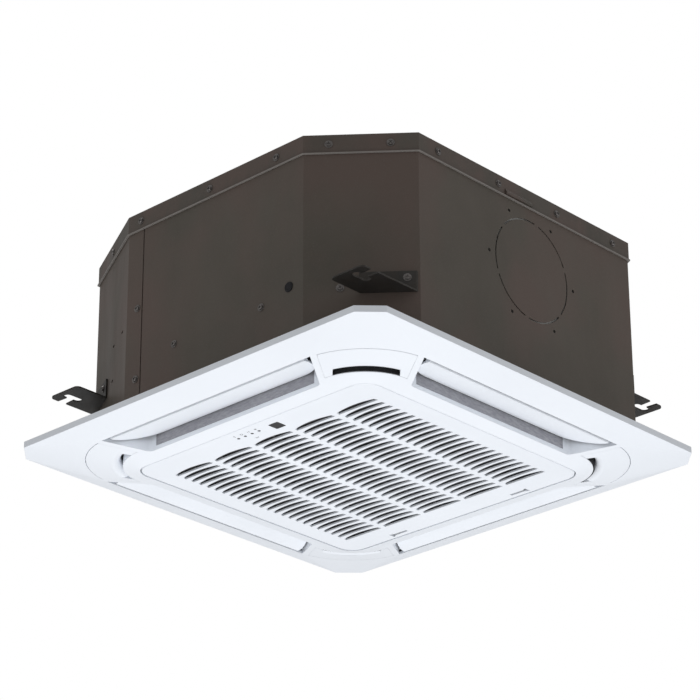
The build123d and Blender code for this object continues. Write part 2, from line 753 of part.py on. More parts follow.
with BuildPart() as motor_bracket:
    with BuildSketch(Plane.XY.offset(bracket_z)):
        Circle(95)
        Circle(30, mode=Mode.SUBTRACT)
        with PolarLocations(77, 4, start_angle=45):
            Circle(3.2, mode=Mode.SUBTRACT)
    extrude(amount=2.0)
    with BuildSketch(Plane.XY.offset(bracket_z)):
        Circle(95)
        Circle(93, mode=Mode.SUBTRACT)
    extrude(amount=casing_top + 2.0 - lid_sheet - seat_gap - bracket_z)
motor_bracket.part.label = "motor_bracket"
export_step(motor_bracket.part, "parts/motor_bracket.step")

box_top = casing_z - 2 * seat_gap - 2.5
box_low = ceiling_z - 10.0
with BuildPart() as electrical_box:
    with Locations((162, 0, box_low)):
        Box(84, 320, box_top - box_low, align=(Align.CENTER, Align.CENTER, Align.MIN))
        Box(81.6, 317.6, box_top - box_low - 1.2, align=(Align.CENTER, Align.CENTER, Align.MIN), mode=Mode.SUBTRACT)
electrical_box.part.label = "electrical_box"
export_step(electrical_box.part, "parts/electrical_box.step")

with BuildPart() as electrical_cover:
    with Locations((162, 0, box_low - seat_gap - 1.2)):
        Box(88, 324, 1.2, align=(Align.CENTER, Align.CENTER, Align.MIN))
        Box(88, 324, 9.2, align=(Align.CENTER, Align.CENTER, Align.MIN))
        with Locations((0, 0, 1.2)):
            Box(85, 321, 8.0, align=(Align.CENTER, Align.CENTER, Align.MIN), mode=Mode.SUBTRACT)
    # pressed stiffening beads
    with BuildSketch(Plane.XY.offset(box_low - seat_gap - 1.2)):
        with Locations((162, -80), (162, 80)):
            RectangleRounded(50, 110, 8)
            RectangleRounded(46, 106, 6, mode=Mode.SUBTRACT)
    extrude(amount=-1.0)
electrical_cover.part.label = "electrical_cover"
export_step(electrical_cover.part, "parts/electrical_cover.step")

with BuildPart() as terminal_block:
    with Locations((162, -118, box_top - 1.2 - seat_gap)):
        Box(70, 30, 18, align=(Align.CENTER, Align.CENTER, Align.MAX))
    with BuildSketch(Plane.XY.offset(box_top - 1.2 - seat_gap - 18)):
        with Locations((162, -118)):
            with GridLocations(12, 14, 5, 2):
                Rectangle(9, 9)
    extrude(amount=9, mode=Mode.SUBTRACT)
terminal_block.part.label = "terminal_block"
export_step(terminal_block.part, "parts/terminal_block.step")

with BuildPart() as control_board:
    with Locations((162, 30, box_top - 1.2 - seat_gap)):
        with Locations(*[(x, y, 0) for x in (-30, 30) for y in (-95, 95)]):
            Cylinder(3, 6, align=(Align.CENTER, Align.CENTER, Align.MAX))
        with Locations((0, 0, -5.5)):
            Box(74, 210, 1.6, align=(Align.CENTER, Align.CENTER, Align.MAX))
        with Locations((-14, -50, -7)):
            Box(30, 36, 14, align=(Align.CENTER, Align.CENTER, Align.MAX))
        with Locations((18, 20, -7)):
            Box(20, 44, 10, align=(Align.CENTER, Align.CENTER, Align.MAX))
        with Locations((-18, 40, -7)):
            Cylinder(9, 15, align=(Align.CENTER, Align.CENTER, Align.MAX))
control_board.part.label = "control_board"
export_step(control_board.part, "parts/control_board.step")

with BuildPart() as drain_pump:
    with Locations((pump_x, pump_y, pan_top + seat_gap)):
        Cylinder(27, 2.4, align=(Align.CENTER, Align.CENTER, Align.MIN))
        Cylinder(22, 40, align=(Align.CENTER, Align.CENTER, Align.MIN))
        Cylinder(17, 58, align=(Align.CENTER, Align.CENTER, Align.MIN))
        Cylinder(6.9, 64, align=(Align.CENTER, Align.CENTER, Align.MIN))
        Cylinder(8, 20, align=(Align.CENTER, Align.CENTER, Align.MAX))
drain_pump.part.label = "drain_pump"
export_step(drain_pump.part, "parts/drain_pump.step")

with BuildPart() as drain_hose:
    with BuildLine() as hose_path:
        Spline(
            (pump_x, pump_y, pan_top + 60), (pump_x, pump_y, drain_z - 60), (232, 178, drain_z - 6),
            (265.5, drain_y, drain_z), tangents=((0, 0, 1), (1, 0, 0)),
        )
    with BuildSketch(Plane(origin=(pump_x, pump_y, pan_top + 60), z_dir=(0, 0, 1))):
        Circle(9)
        Circle(7, mode=Mode.SUBTRACT)
    sweep()
drain_hose.part.label = "drain_hose"
export_step(drain_hose.part, "parts/drain_hose.step")

with BuildPart() as drain_outlet:
    with BuildSketch(Plane(origin=(262, drain_y, drain_z), x_dir=(0, 1, 0), z_dir=(1, 0, 0))):
        Circle(drain_r)
    extrude(amount=drain_reach - 262)
    with BuildSketch(Plane(origin=(casing_half + seat_gap, drain_y, drain_z), x_dir=(0, 1, 0), z_dir=(1, 0, 0))):
        Circle(22)
    extrude(amount=2.0)
    with BuildSketch(Plane(origin=(268, drain_y, drain_z), x_dir=(0, 1, 0), z_dir=(1, 0, 0))):
        Circle(13)
    extrude(amount=80, mode=Mode.SUBTRACT)
    with BuildSketch(Plane(origin=(260, drain_y, drain_z), x_dir=(0, 1, 0), z_dir=(1, 0, 0))):
        Circle(9.2)
    extrude(amount=20, mode=Mode.SUBTRACT)
drain_outlet.part.label = "drain_outlet"
export_step(drain_outlet.part, "parts/drain_outlet.step")

with BuildPart() as float_switch:
    with Locations((float_x, float_y, pan_top + seat_gap)):
        Box(9, 48, 2, align=(Align.CENTER, Align.CENTER, Align.MIN))
        Box(9, 16, 18, align=(Align.CENTER, Align.CENTER, Align.MIN))
        Cylinder(float_stem_r, 22, align=(Align.CENTER, Align.CENTER, Align.MAX))
float_switch.part.label = "float_switch"
export_step(float_switch.part, "parts/float_switch.step")

with BuildPart() as float_ring:
    with BuildSketch(Plane.XY.offset(trough_z + 3)):
        with Locations((float_x, float_y)):
            Circle(float_r)
            Circle(float_stem_r + float_fit, mode=Mode.SUBTRACT)
    extrude(amount=12)
float_ring.part.label = "float_ring"
export_step(float_ring.part, "parts/float_ring.step")

with BuildPart() as gas_pipe:
    with BuildSketch(Plane(origin=(coil_outer + seat_gap, gas_y, gas_z), x_dir=(0, 1, 0), z_dir=(1, 0, 0))):
        Circle(gas_r)
        Circle(gas_r - 0.8, mode=Mode.SUBTRACT)
    extrude(amount=pipe_reach - 14 - coil_outer - seat_gap)
gas_pipe.part.label = "gas_pipe"
export_step(gas_pipe.part, "parts/gas_pipe.step")

with BuildPart() as liquid_pipe:
    with BuildSketch(Plane(origin=(coil_outer + seat_gap, liquid_y, liquid_z), x_dir=(0, 1, 0), z_dir=(1, 0, 0))):
        Circle(liquid_r)
        Circle(liquid_r - 0.7, mode=Mode.SUBTRACT)
    extrude(amount=pipe_reach - 14 - coil_outer - seat_gap)
liquid_pipe.part.label = "liquid_pipe"
export_step(liquid_pipe.part, "parts/liquid_pipe.step")

with BuildPart() as flare_nuts:
    with BuildSketch(Plane(origin=(pipe_reach - 22, 0, 0), x_dir=(0, 1, 0), z_dir=(1, 0, 0))):
        with Locations((gas_y, gas_z)):
            RegularPolygon(13, 6, major_radius=False)
        with Locations((liquid_y, liquid_z)):
            RegularPolygon(8.5, 6, major_radius=False)
    extrude(amount=22)
    with BuildSketch(Plane(origin=(pipe_reach - 14, 0, 0), x_dir=(0, 1, 0), z_dir=(1, 0, 0))):
        with Locations((gas_y, gas_z)):
            Circle(gas_nut_r)
        with Locations((liquid_y, liquid_z)):
            Circle(liquid_nut_r)
    extrude(amount=30, mode=Mode.SUBTRACT)
    with BuildSketch(Plane(origin=(pipe_reach - 23, 0, 0), x_dir=(0, 1, 0), z_dir=(1, 0, 0))):
        with Locations((gas_y, gas_z)):
            Circle(gas_r + 0.05)
        with Locations((liquid_y, liquid_z)):
            Circle(liquid_r + 0.05)
    extrude(amount=30, mode=Mode.SUBTRACT)
flare_nuts.part.label = "flare_nuts"
export_step(flare_nuts.part, "parts/flare_nuts.step")

with BuildPart() as pipe_plate:
    with BuildSketch(wall_plane(casing_half + seat_gap, (gas_y + liquid_y) / 2, (gas_z + liquid_z) / 2, 1, 0)):
        RectangleRounded(112, 96, 6)
        with Locations(((gas_y - liquid_y) / 2, (gas_z - liquid_z) / 2)):
            Circle(gas_r + 0.3, mode=Mode.SUBTRACT)
        with Locations(((liquid_y - gas_y) / 2, (liquid_z - gas_z) / 2)):
            Circle(liquid_r + 0.3, mode=Mode.SUBTRACT)
    extrude(amount=1.2)
pipe_plate.part.label = "pipe_plate"
export_step(pipe_plate.part, "parts/pipe_plate.step")

# ---- ceiling panel ----

# seats of the louvre pins in the outlets' end walls
with BuildPart() as pivot_bores:
    with PolarLocations(0, 4):
        with Locations(Location((-pivot_x, 0, pivot_z), (90, 0, 0))):
            Cylinder(bush_r + 0.1, 2 * 194.0)
            Cylinder(bush_r + 0.3, 2 * 180.0, mode=Mode.SUBTRACT)

with BuildPart() as panel_lips:
    extrude(corner_fields(lip_wall, lip_wall, lip_wall, face_z), amount=40)
    extrude(corner_fields(0, 0, 0, face_z), amount=40, mode=Mode.SUBTRACT)
    extrude(slot_zone(95, slot_reach + 2.5, face_z), amount=40, mode=Mode.SUBTRACT)
    extrude(outlets(lip_wall, outlet_outer, outlet_inner, face_z), amount=40)
    extrude(soft_square(opening_half + 5.6, opening_round + 5.6, face_z), amount=40)
    extrude(soft_square(opening_half + 3.2, opening_round + 3.2, face_z), amount=40, mode=Mode.SUBTRACT)
    extrude(outlets(0, outlet_outer, outlet_inner, face_z), amount=40, mode=Mode.SUBTRACT)
    loft(panel_sections(0, 0, ceiling_z), ruled=True, mode=Mode.INTERSECT)
    loft(panel_sections(shell_wall, shell_wall + lip_rise, ceiling_z + 2), ruled=True, mode=Mode.SUBTRACT)

# the outlets' tall end walls
with BuildPart() as outlet_cheeks:
    extrude(outlets(lip_wall, outlet_outer, outlet_inner, face_z), amount=cheek_top - face_z)
    extrude(outlets(0, outlet_outer, outlet_inner, face_z), amount=cheek_top - face_z, mode=Mode.SUBTRACT)
    extrude(outlet_ends(cheek_half, face_z), amount=cheek_top - face_z, mode=Mode.INTERSECT)
    loft(panel_sections(0, 0, cheek_top + 10), ruled=True, mode=Mode.INTERSECT)

with BuildPart() as panel_ledges:
    extrude(corner_fields(0.5, 0.5, 0.5, face_z), amount=40)
    extrude(corner_fields(-ledge_width, -ledge_width, -ledge_width, face_z), amount=40, mode=Mode.SUBTRACT)
    extrude(slot_zone(95, slot_reach + end_wall + 2.0, face_z), amount=40, mode=Mode.SUBTRACT)
    loft(panel_sections(0, shell_wall + seat_gap, ceiling_z + 1), ruled=True, mode=Mode.INTERSECT)
    loft(panel_sections(shell_wall, shell_wall + lip_rise, ceiling_z + 2), ruled=True, mode=Mode.SUBTRACT)

# upright lip along the back left slot, the one without a foam strip
with BuildPart() as slot_lip:
    extrude(slot_zone(slot_round, slot_reach + 2.5, inner_z), amount=14)
    extrude(corner_discs(slot_round - lip_wall, inner_z), amount=14, mode=Mode.SUBTRACT)
    loft(panel_sections(0, 0, ceiling_z), ruled=True, mode=Mode.INTERSECT)
    with Locations((-400, 400, 0)):
        Box(800, 800, 400, mode=Mode.INTERSECT)

with BuildPart() as panel_skin:
    loft(panel_sections(0, 0, ceiling_z), ruled=True)
    loft(panel_sections(shell_wall, shell_wall, ceiling_z + 1), ruled=True, mode=Mode.SUBTRACT)

with BuildPart() as panel_frame:
    add(panel_skin.part)
    extrude(outlets(0, outlet_outer, outlet_inner, face_z - 1), amount=40, mode=Mode.SUBTRACT)
    extrude(corner_fields(0, 0, 0, face_z - 1), amount=40, mode=Mode.SUBTRACT)
    extrude(seam_dots(face_z - 1), amount=40, mode=Mode.SUBTRACT)
    extrude(soft_square(opening_half, opening_round, face_z - 1), amount=40, mode=Mode.SUBTRACT)
    add(panel_lips.part)
    add(outlet_cheeks.part)
    add(pivot_bores.part, mode=Mode.SUBTRACT)
    # ledges over the edges of the corner covers
    add(panel_ledges.part)
    add(slot_lip.part)
    # hinge cheeks either side of the grille's arms, with the arms' pockets
    for y in (-hinge_y, hinge_y):
        for side in (-1, 1):
            cheek_y = y + side * (hinge_arm / 2 + hinge_side_gap + hinge_cheek / 2)
            with Locations((-outlet_inner + 2.0, cheek_y, hinge_z - 3.0)):
                Box(6.1, hinge_cheek, 6.0, align=(Align.MIN, Align.CENTER, Align.MIN))
        with Locations((hinge_x - 2.9, y, hinge_z - 2.5)):
            Box(8.0, hinge_arm + 2 * hinge_side_gap, 20, align=(Align.MIN, Align.CENTER, Align.MIN), mode=Mode.SUBTRACT)
        with Locations((-opening_half - 8.0, y, hinge_z - 2.5)):
            Box(8.0, hinge_arm + 2 * hinge_side_gap, 20, align=(Align.MIN, Align.CENTER, Align.MIN), mode=Mode.SUBTRACT)
        with Locations(Location((hinge_x, y, hinge_z), (90, 0, 0))):
            Cylinder(hinge_r + hinge_fit, hinge_arm + 2 * (hinge_side_gap + hinge_cheek) + 1.0, mode=Mode.SUBTRACT)
panel_frame.part.label = "panel_frame"
export_step(panel_frame.part, "parts/panel_frame.step")

# wide ducts under a shelf over the end walls, standing just over the panel's lips
shelf_z = cheek_top + seat_gap
with BuildPart() as duct_boxes:
    extrude(outlets(duct_wall, outlet_outer, outlet_inner, face_z), amount=shelf_z + duct_wall - face_z)
    extrude(outlets(0, outlet_outer, outlet_inner, face_z - 1), amount=shelf_z - face_z + 1, mode=Mode.SUBTRACT)
    extrude(outlet_ends(cheek_half - seat_gap, face_z - 1), amount=shelf_z - face_z + 1, mode=Mode.SUBTRACT)
    extrude(outlets(0, neck_outer, outlet_inner, shelf_z - 1), amount=10, mode=Mode.SUBTRACT)
    loft(panel_sections(shell_wall, shell_wall + lip_rise + seat_gap, ceiling_z + 30), ruled=True, mode=Mode.INTERSECT)

with BuildPart() as duct_frame:
    extrude(cut_square(deck_half, deck_cut, deck_z), amount=deck_wall)
    # narrower necks up to the casing
    extrude(outlets(duct_wall, neck_outer, outlet_inner, shelf_z), amount=deck_z + deck_wall - shelf_z)
    extrude(soft_square(duct_opening, 30, deck_z - 1), amount=10, mode=Mode.SUBTRACT)
    extrude(outlets(0, neck_outer, outlet_inner, shelf_z - 1), amount=40, mode=Mode.SUBTRACT)
    extrude(screw_discs(2.6, deck_z - 1), amount=10, mode=Mode.SUBTRACT)
    add(duct_boxes.part)
duct_frame.part.label = "duct_frame"
export_step(duct_frame.part, "parts/duct_frame.step")

with BuildPart() as panel_gasket:
    extrude(cut_square(deck_half, deck_cut, deck_z + deck_wall + seat_gap), amount=gasket_wall)
    extrude(outlets(duct_wall, neck_outer, outlet_inner, deck_z), amount=10, mode=Mode.SUBTRACT)
    extrude(soft_square(duct_opening, 30, deck_z), amount=10, mode=Mode.SUBTRACT)
    extrude(screw_discs(2.6, deck_z), amount=10, mode=Mode.SUBTRACT)
panel_gasket.part.label = "panel_gasket"
export_step(panel_gasket.part, "parts/panel_gasket.step")

with BuildPart() as panel_screws:
    extrude(screw_discs(4.6, deck_z - 3.4), amount=3.2)
    extrude(screw_discs(2.4, deck_z - 3.4), amount=22)
panel_screws.part.label = "panel_screws"
export_step(panel_screws.part, "parts/panel_screws.step")

# the rolled edge that turns up into each arc slot, drawn for the back right corner
tilt_x = sin(radians(roll_tilt))
tilt_z = cos(radians(roll_tilt))
inner_roll = roll_r - roll_wall
half_turn = radians((roll_tilt - 90) / 2)
with BuildPart() as slot_ends:
    extrude(slot_zone(roll_centre + 2.4, slot_reach + end_wall, face_z), amount=roll_z + roll_rise - face_z)
    extrude(slot_zone(110, slot_reach, face_z), amount=60, mode=Mode.SUBTRACT)
    extrude(corner_discs(slot_round + cover_gap, face_z), amount=60, mode=Mode.SUBTRACT)

with BuildPart() as cover_roll:
    with BuildSketch(Plane(origin=(corner_centre, corner_centre, 0), x_dir=(1, 1, 0), z_dir=(1, -1, 0))):
        with BuildLine():
            start = (roll_centre + roll_r * tilt_x, roll_z - roll_r * tilt_z)
            finish = (roll_centre + inner_roll * tilt_x, roll_z - inner_roll * tilt_z)
            ThreePointArc(
                start, (roll_centre + roll_r * sin(half_turn), roll_z - roll_r * cos(half_turn)),
                (roll_centre - roll_r, roll_z),
            )
            Polyline(
                (roll_centre - roll_r, roll_z), (roll_centre - roll_r, roll_z + roll_rise),
                (roll_centre - inner_roll, roll_z + roll_rise), (roll_centre - inner_roll, roll_z),
            )
            ThreePointArc(
                (roll_centre - inner_roll, roll_z),
                (roll_centre + inner_roll * sin(half_turn), roll_z - inner_roll * cos(half_turn)), finish,
            )
            Polyline(
                finish, (finish[0] + 1.5 * tilt_z, finish[1] + 1.5 * tilt_x),
                (start[0] + 1.5 * tilt_z, start[1] + 1.5 * tilt_x), start,
            )
        make_face()
    revolve(axis=Axis((corner_centre, corner_centre, 0), (0, 0, 1)))
    extrude(slot_zone(110, slot_reach + end_wall / 2, face_z), amount=60, mode=Mode.INTERSECT)
    add(slot_ends.part)
    loft(panel_sections(0, 0, ceiling_z + 5), ruled=True, mode=Mode.INTERSECT)
    with Locations((400, 400, 0)):
        Box(800, 800, 400, mode=Mode.INTERSECT)

with BuildPart() as cover_back_right:
    extrude(corner_fields(-seam_gap, -side_gap, -cover_gap, face_z), amount=40)
    extrude(slot_zone(roll_centre + roll_r * tilt_x, slot_reach, face_z), amount=40, mode=Mode.SUBTRACT)
    extrude(seam_dots(face_z - 1), amount=40, mode=Mode.SUBTRACT)
    loft(panel_sections(0, 0, ceiling_z), ruled=True, mode=Mode.INTERSECT)
    loft(panel_sections(shell_wall, shell_wall, ceiling_z + 1), ruled=True, mode=Mode.SUBTRACT)
    with Locations((400, 400, 0)):
        Box(800, 800, 400, mode=Mode.INTERSECT)
    add(cover_roll.part)
cover_back_right.part.label = "cover_back_right"
export_step(cover_back_right.part, "parts/cover_back_right.step")

with BuildPart() as cover_back_left:
    add(cover_back_right.part.rotate(Axis.Z, 90))
cover_back_left.part.label = "cover_back_left"
export_step(cover_back_left.part, "parts/cover_back_left.step")

with BuildPart() as cover_front_left:
    add(cover_back_right.part.rotate(Axis.Z, 180))
cover_front_left.part.label = "cover_front_left"
export_step(cover_front_left.part, "parts/cover_front_left.step")

with BuildPart() as cover_front_right:
    add(cover_back_right.part.rotate(Axis.Z, 270))
cover_front_right.part.label = "cover_front_right"
export_step(cover_front_right.part, "parts/cover_front_right.step")

# foam strips in three of the slots, under a block over every slot
with BuildPart() as foam_blocks:
    extrude(corner_discs(roll_centre + 0.4, foam_low), amount=deck_z - seat_gap - foam_low)
    extrude(corner_discs(58, foam_low), amount=60, mode=Mode.SUBTRACT)
    with BuildSketch(Plane.XY.offset(foam_low)):
        with PolarLocations(0, 4):
            Polygon((178, 178), (178, 300), (300, 300), (300, 178), align=None)
    extrude(amount=60, mode=Mode.INTERSECT)

with BuildPart() as slot_foam:
    extrude(slot_zone(slot_round + 0.1 + strip_wall, slot_reach - 0.2, strip_z), amount=foam_low + 2.0 - strip_z)
    extrude(corner_discs(slot_round + 0.1, strip_z), amount=60, mode=Mode.SUBTRACT)
    with Locations((-400, 400, strip_z)):
        Box(800, 800, 200, mode=Mode.SUBTRACT)
    add(foam_blocks.part)
slot_foam.part.label = "slot_foam"
export_step(slot_foam.part, "parts/slot_foam.step")

# ---- louvres ----

# drawn about the pin, turned to the rest angle
rest_x = cos(radians(louvre_rest))
rest_z = sin(radians(louvre_rest))
louvre_side = Plane(origin=(-pivot_x, 0, pivot_z), x_dir=(rest_x, 0, rest_z), z_dir=(0, -1, 0))
louvre_plan = Plane(origin=(-pivot_x, 0, pivot_z), x_dir=(rest_x, 0, rest_z), z_dir=(-rest_z, 0, rest_x))
edge_u = pivot_x - louvre_outer
edge_w = groove_z - pivot_z - 0.1
inner_u = pivot_x - louvre_inner
inner_w = groove_z - pivot_z - (groove_z - inner_z) * (outlet_outer - louvre_inner) / (outlet_outer - outlet_inner)
sag_u = (edge_u + inner_u) / 2
sag_w = (edge_w + inner_w) / 2 - 1.0
with BuildPart() as louvre_left:
    with BuildSketch(louvre_side):
        with BuildLine():
            ThreePointArc((edge_u, edge_w), (sag_u, sag_w), (inner_u, inner_w))
            Line((inner_u, inner_w), (inner_u, inner_w + louvre_wall))
            ThreePointArc((inner_u, inner_w + louvre_wall), (sag_u, sag_w + louvre_wall), (edge_u, edge_w + louvre_wall))
            Line((edge_u, edge_w + louvre_wall), (edge_u, edge_w))
        make_face()
    extrude(amount=louvre_outer_half, both=True)
    with BuildSketch(louvre_plan.offset(-60)):
        with BuildLine():
            Polyline(
                (edge_u + louvre_end, -louvre_outer_half), (edge_u, -louvre_outer_half),
                (edge_u, louvre_outer_half), (edge_u + louvre_end, louvre_outer_half),
            )
            Bezier(
                (edge_u + louvre_end, louvre_outer_half), (edge_u + 26.5, louvre_outer_half - 4.5),
                (inner_u, louvre_inner_half + 24), (inner_u, louvre_inner_half),
            )
            Line((inner_u, louvre_inner_half), (inner_u, -louvre_inner_half))
            Bezier(
                (inner_u, -louvre_inner_half), (inner_u, -louvre_inner_half - 24),
                (edge_u + 26.5, -louvre_outer_half + 4.5), (edge_u + louvre_end, -louvre_outer_half),
            )
        make_face()
    extrude(amount=90, mode=Mode.INTERSECT)
    # end arms up to the pins
    for end in (-1, 1):
        with BuildSketch(louvre_side.offset(end * (louvre_outer_half - arm_wall / 2))):
            Circle(2.5)
            Polygon((-2.5, 0), (edge_u + 0.2, edge_w + 1.0), (5.2, edge_w - 0.8), (2.5, 0), align=None)
        extrude(amount=arm_wall / 2, both=True)
        with BuildSketch(louvre_side.offset(end * louvre_outer_half)):
            Circle(pivot_r)
        extrude(amount=end * 16.0)
    # stiffening rib along the back
    with BuildSketch(louvre_side):
        Polygon((18, -11.5), (18, -7.5), (20, -7.5), (20, -11.5), align=None)
    extrude(amount=louvre_inner_half - 5, both=True)
louvre_left.part.label = "louvre_left"
export_step(louvre_left.part, "parts/louvre_left.step")

with BuildPart() as louvre_front:
    add(louvre_left.part.rotate(Axis.Z, 90))
louvre_front.part.label = "louvre_front"
export_step(louvre_front.part, "parts/louvre_front.step")

with BuildPart() as louvre_right:
    add(louvre_left.part.rotate(Axis.Z, 180))
louvre_right.part.label = "louvre_right"
export_step(louvre_right.part, "parts/louvre_right.step")

with BuildPart() as louvre_back:
    add(louvre_left.part.rotate(Axis.Z, 270))
louvre_back.part.label = "louvre_back"
export_step(louvre_back.part, "parts/louvre_back.step")

bush_y = outlet_half(pivot_x, 0) - 1.5
with BuildPart() as louvre_bushes:
    with PolarLocations(0, 4):
        with Locations(Location((-pivot_x, -bush_y, pivot_z), (90, 0, 0))):
            Cylinder(bush_r, 8.5, align=(Align.CENTER, Align.CENTER, Align.MIN))
            Cylinder(pivot_r + pivot_fit, 30, mode=Mode.SUBTRACT)
louvre_bushes.part.label = "louvre_bushes"
export_step(louvre_bushes.part, "parts/louvre_bushes.step")

with BuildPart() as louvre_motors:
    with PolarLocations(0, 4):
        with Locations(Location((-pivot_x, bush_y, pivot_z), (-90, 0, 0))):
            Cylinder(bush_r, 8.9, align=(Align.CENTER, Align.CENTER, Align.MIN))
        with Locations(Location((-pivot_x + 5.0, bush_y + 8.7, pivot_z + 9.0), (-90, 0, 0))):
            Cylinder(motor_r, motor_long, align=(Align.CENTER, Align.CENTER, Align.MIN))
        with Locations(Location((-pivot_x, bush_y, pivot_z), (-90, 0, 0))):
            Cylinder(pivot_r + pivot_fit, 16, mode=Mode.SUBTRACT)
louvre_motors.part.label = "louvre_motors"
export_step(louvre_motors.part, "parts/louvre_motors.step")

# ---- intake grille ----

slot_xs = [slot_first_x + slot_pitch_x * row for row in range(slot_rows)]
slot_ys = [slot_pitch_y * (column - (slot_columns - 1) / 2) for column in range(slot_columns)]
with BuildPart() as grille:
    extrude(soft_square(grille_half, grille_round, face_z), amount=skirt_z - face_z)
    fillet(grille.faces().sort_by(Axis.Z)[0].edges(), grille_edge)
    extrude(
        soft_square(grille_half - grille_wall, grille_round - grille_wall, face_z + grille_wall),
        amount=20, mode=Mode.SUBTRACT,
    )
    # the skirt stops short of the hinge side, where the plate alone swings past the opening's edge
    with Locations((-grille_half - 1.0, 0, face_z + grille_wall)):
        Box(6.1, 2 * grille_half + 2, 20, align=(Align.MIN, Align.CENTER, Align.MIN), mode=Mode.SUBTRACT)
    # leaning crescent slots
    with BuildSketch(Plane.XY.offset(face_z - 1.0)) as slots:
        with BuildLine():
            half = slot_long / 2
            Polyline((0, -half + 1.5), (slot_wide / 2, -half), (slot_wide / 2, half), (0, half - 1.5))
            ThreePointArc((0, half - 1.5), (-slot_wide / 2, 0), (0, -half + 1.5))
        make_face()
    with BuildSketch(Plane.XY.offset(face_z - 1.0)) as slot_field:
        with Locations(*[(x + slot_lean, y) for x in slot_xs for y in slot_ys]):
            add(slots.sketch)
    extrude(slot_field.sketch, amount=grille_wall + 2.0, dir=(-slot_lean, 0, 1), mode=Mode.SUBTRACT)
    # lamp holes and the receiver window's hole
    with BuildSketch(Plane.XY.offset(face_z - 1.0)):
        with Locations(*[(lamp_x, y) for y in lamp_ys]):
            Circle(lamp_r + lamp_gap)
        with Locations((window_x, window_y)):
            RectangleRounded(window_side + 2 * lamp_gap, window_side + 2 * lamp_gap, window_round + lamp_gap)
    extrude(amount=10, mode=Mode.SUBTRACT)
    # finger slots of the latches and the gates their tongues pass
    with BuildSketch(Plane.XY.offset(face_z - 1.0)):
        for side in (-1, 1):
            Polygon(
                (latch_x - 2.2, side * (latch_y - 14)), (latch_x + 2.2, side * (latch_y - 14)),
                (latch_x + 2.2, side * (latch_y + 8)), (latch_x + 6.0, side * (latch_y + 15)),
                (latch_x - 5.0, side * (latch_y + 15)), (latch_x - 2.2, side * (latch_y + 8)),
                align=None,
            )
    extrude(amount=10, mode=Mode.SUBTRACT)
    for side in (-1, 1):
        with Locations((grille_half - 4.0, side * (latch_y - latch_travel / 2 + 2), face_z + grille_wall)):
            Box(10, 24, 20, align=(Align.MIN, Align.CENTER, Align.MIN), mode=Mode.SUBTRACT)
        # rails with lips over the latch
        with Locations((latch_x - latch_wide / 2 - 0.6, side * (latch_y - latch_travel / 2), face_z + grille_wall - 0.2)):
            Box(2.2, latch_long + latch_travel + 2, 4.6, align=(Align.MAX, Align.CENTER, Align.MIN))
        lip_z = face_z + grille_wall + latch_wall + 2 * latch_gap
        with Locations((latch_x - latch_wide / 2 - 0.8, side * (latch_y - latch_travel / 2), lip_z)):
            Box(3.0, latch_long + latch_travel + 2, 1.1, align=(Align.MIN, Align.CENTER, Align.MIN))
    # swan-neck hinge arms, reaching over the opening's edge to their pins
    for y in (-hinge_y, hinge_y):
        with BuildSketch(Plane(origin=(hinge_x, y, hinge_z), x_dir=(1, 0, 0), z_dir=(0, -1, 0))):
            Circle(2.1)
            Polygon(
                (-2.1, 0), (2.1, 0), (2.1, hinge_arm_rise - 3.5), (hinge_arm_reach - 4.5, hinge_arm_rise - 3.5),
                (hinge_arm_reach - 4.5, face_z + 1.0 - hinge_z), (hinge_arm_reach, face_z + 1.0 - hinge_z),
                (hinge_arm_reach, hinge_arm_rise), (-2.1, hinge_arm_rise), align=None,
            )
        extrude(amount=hinge_arm / 2, both=True)
        with Locations(Location((hinge_x, y, hinge_z), (90, 0, 0))):
            Cylinder(hinge_r, hinge_arm + 2 * (hinge_side_gap + hinge_cheek))
grille.part.label = "grille"
export_step(grille.part, "parts/grille.step")

with BuildPart() as latch_back:
    with Locations((latch_x, latch_y, face_z + grille_wall + latch_gap)):
        Box(latch_wide, latch_long, latch_wall, align=(Align.CENTER, Align.CENTER, Align.MIN))
    with Locations((latch_x, latch_y + 4, face_z + 1.2)):
        Box(finger_wide, 9, 3.0, align=(Align.CENTER, Align.CENTER, Align.MIN))
    with Locations((latch_x + latch_wide / 2 - 1, latch_y, face_z + grille_wall + latch_gap)):
        Box(opening_half - 0.7 - latch_x - latch_wide / 2 + 1, 12, latch_wall, align=(Align.MIN, Align.CENTER, Align.MIN))
latch_back.part.label = "latch_back"
export_step(latch_back.part, "parts/latch_back.step")

with BuildPart() as latch_front:
    add(latch_back.part.mirror(Plane.XZ))
latch_front.part.label = "latch_front"
export_step(latch_front.part, "parts/latch_front.step")

filter_mid_x = (filter_min_x + filter_max_x) / 2
filter_z = face_z + grille_wall + seat_gap
with BuildPart() as filter_frame:
    with BuildSketch(Plane.XY.offset(filter_z)):
        with Locations((filter_mid_x, 0)):
            RectangleRounded(filter_max_x - filter_min_x, 2 * filter_half_y, 8)
            with GridLocations((filter_max_x - filter_min_x - filter_rim) / 3, (2 * filter_half_y - filter_rim) / 4, 3, 4):
                Rectangle(
                    (filter_max_x - filter_min_x - filter_rim) / 3 - filter_rim / 2,
                    (2 * filter_half_y - filter_rim) / 4 - filter_rim / 2, mode=Mode.SUBTRACT,
                )
    extrude(amount=filter_wall)
    with Locations((filter_mid_x, 0, filter_z + 2.2)):
        Box(
            filter_max_x - filter_min_x - 6, 2 * filter_half_y - 6, 1.0,
            align=(Align.CENTER, Align.CENTER, Align.MIN), mode=Mode.SUBTRACT,
        )
filter_frame.part.label = "filter_frame"
export_step(filter_frame.part, "parts/filter_frame.step")

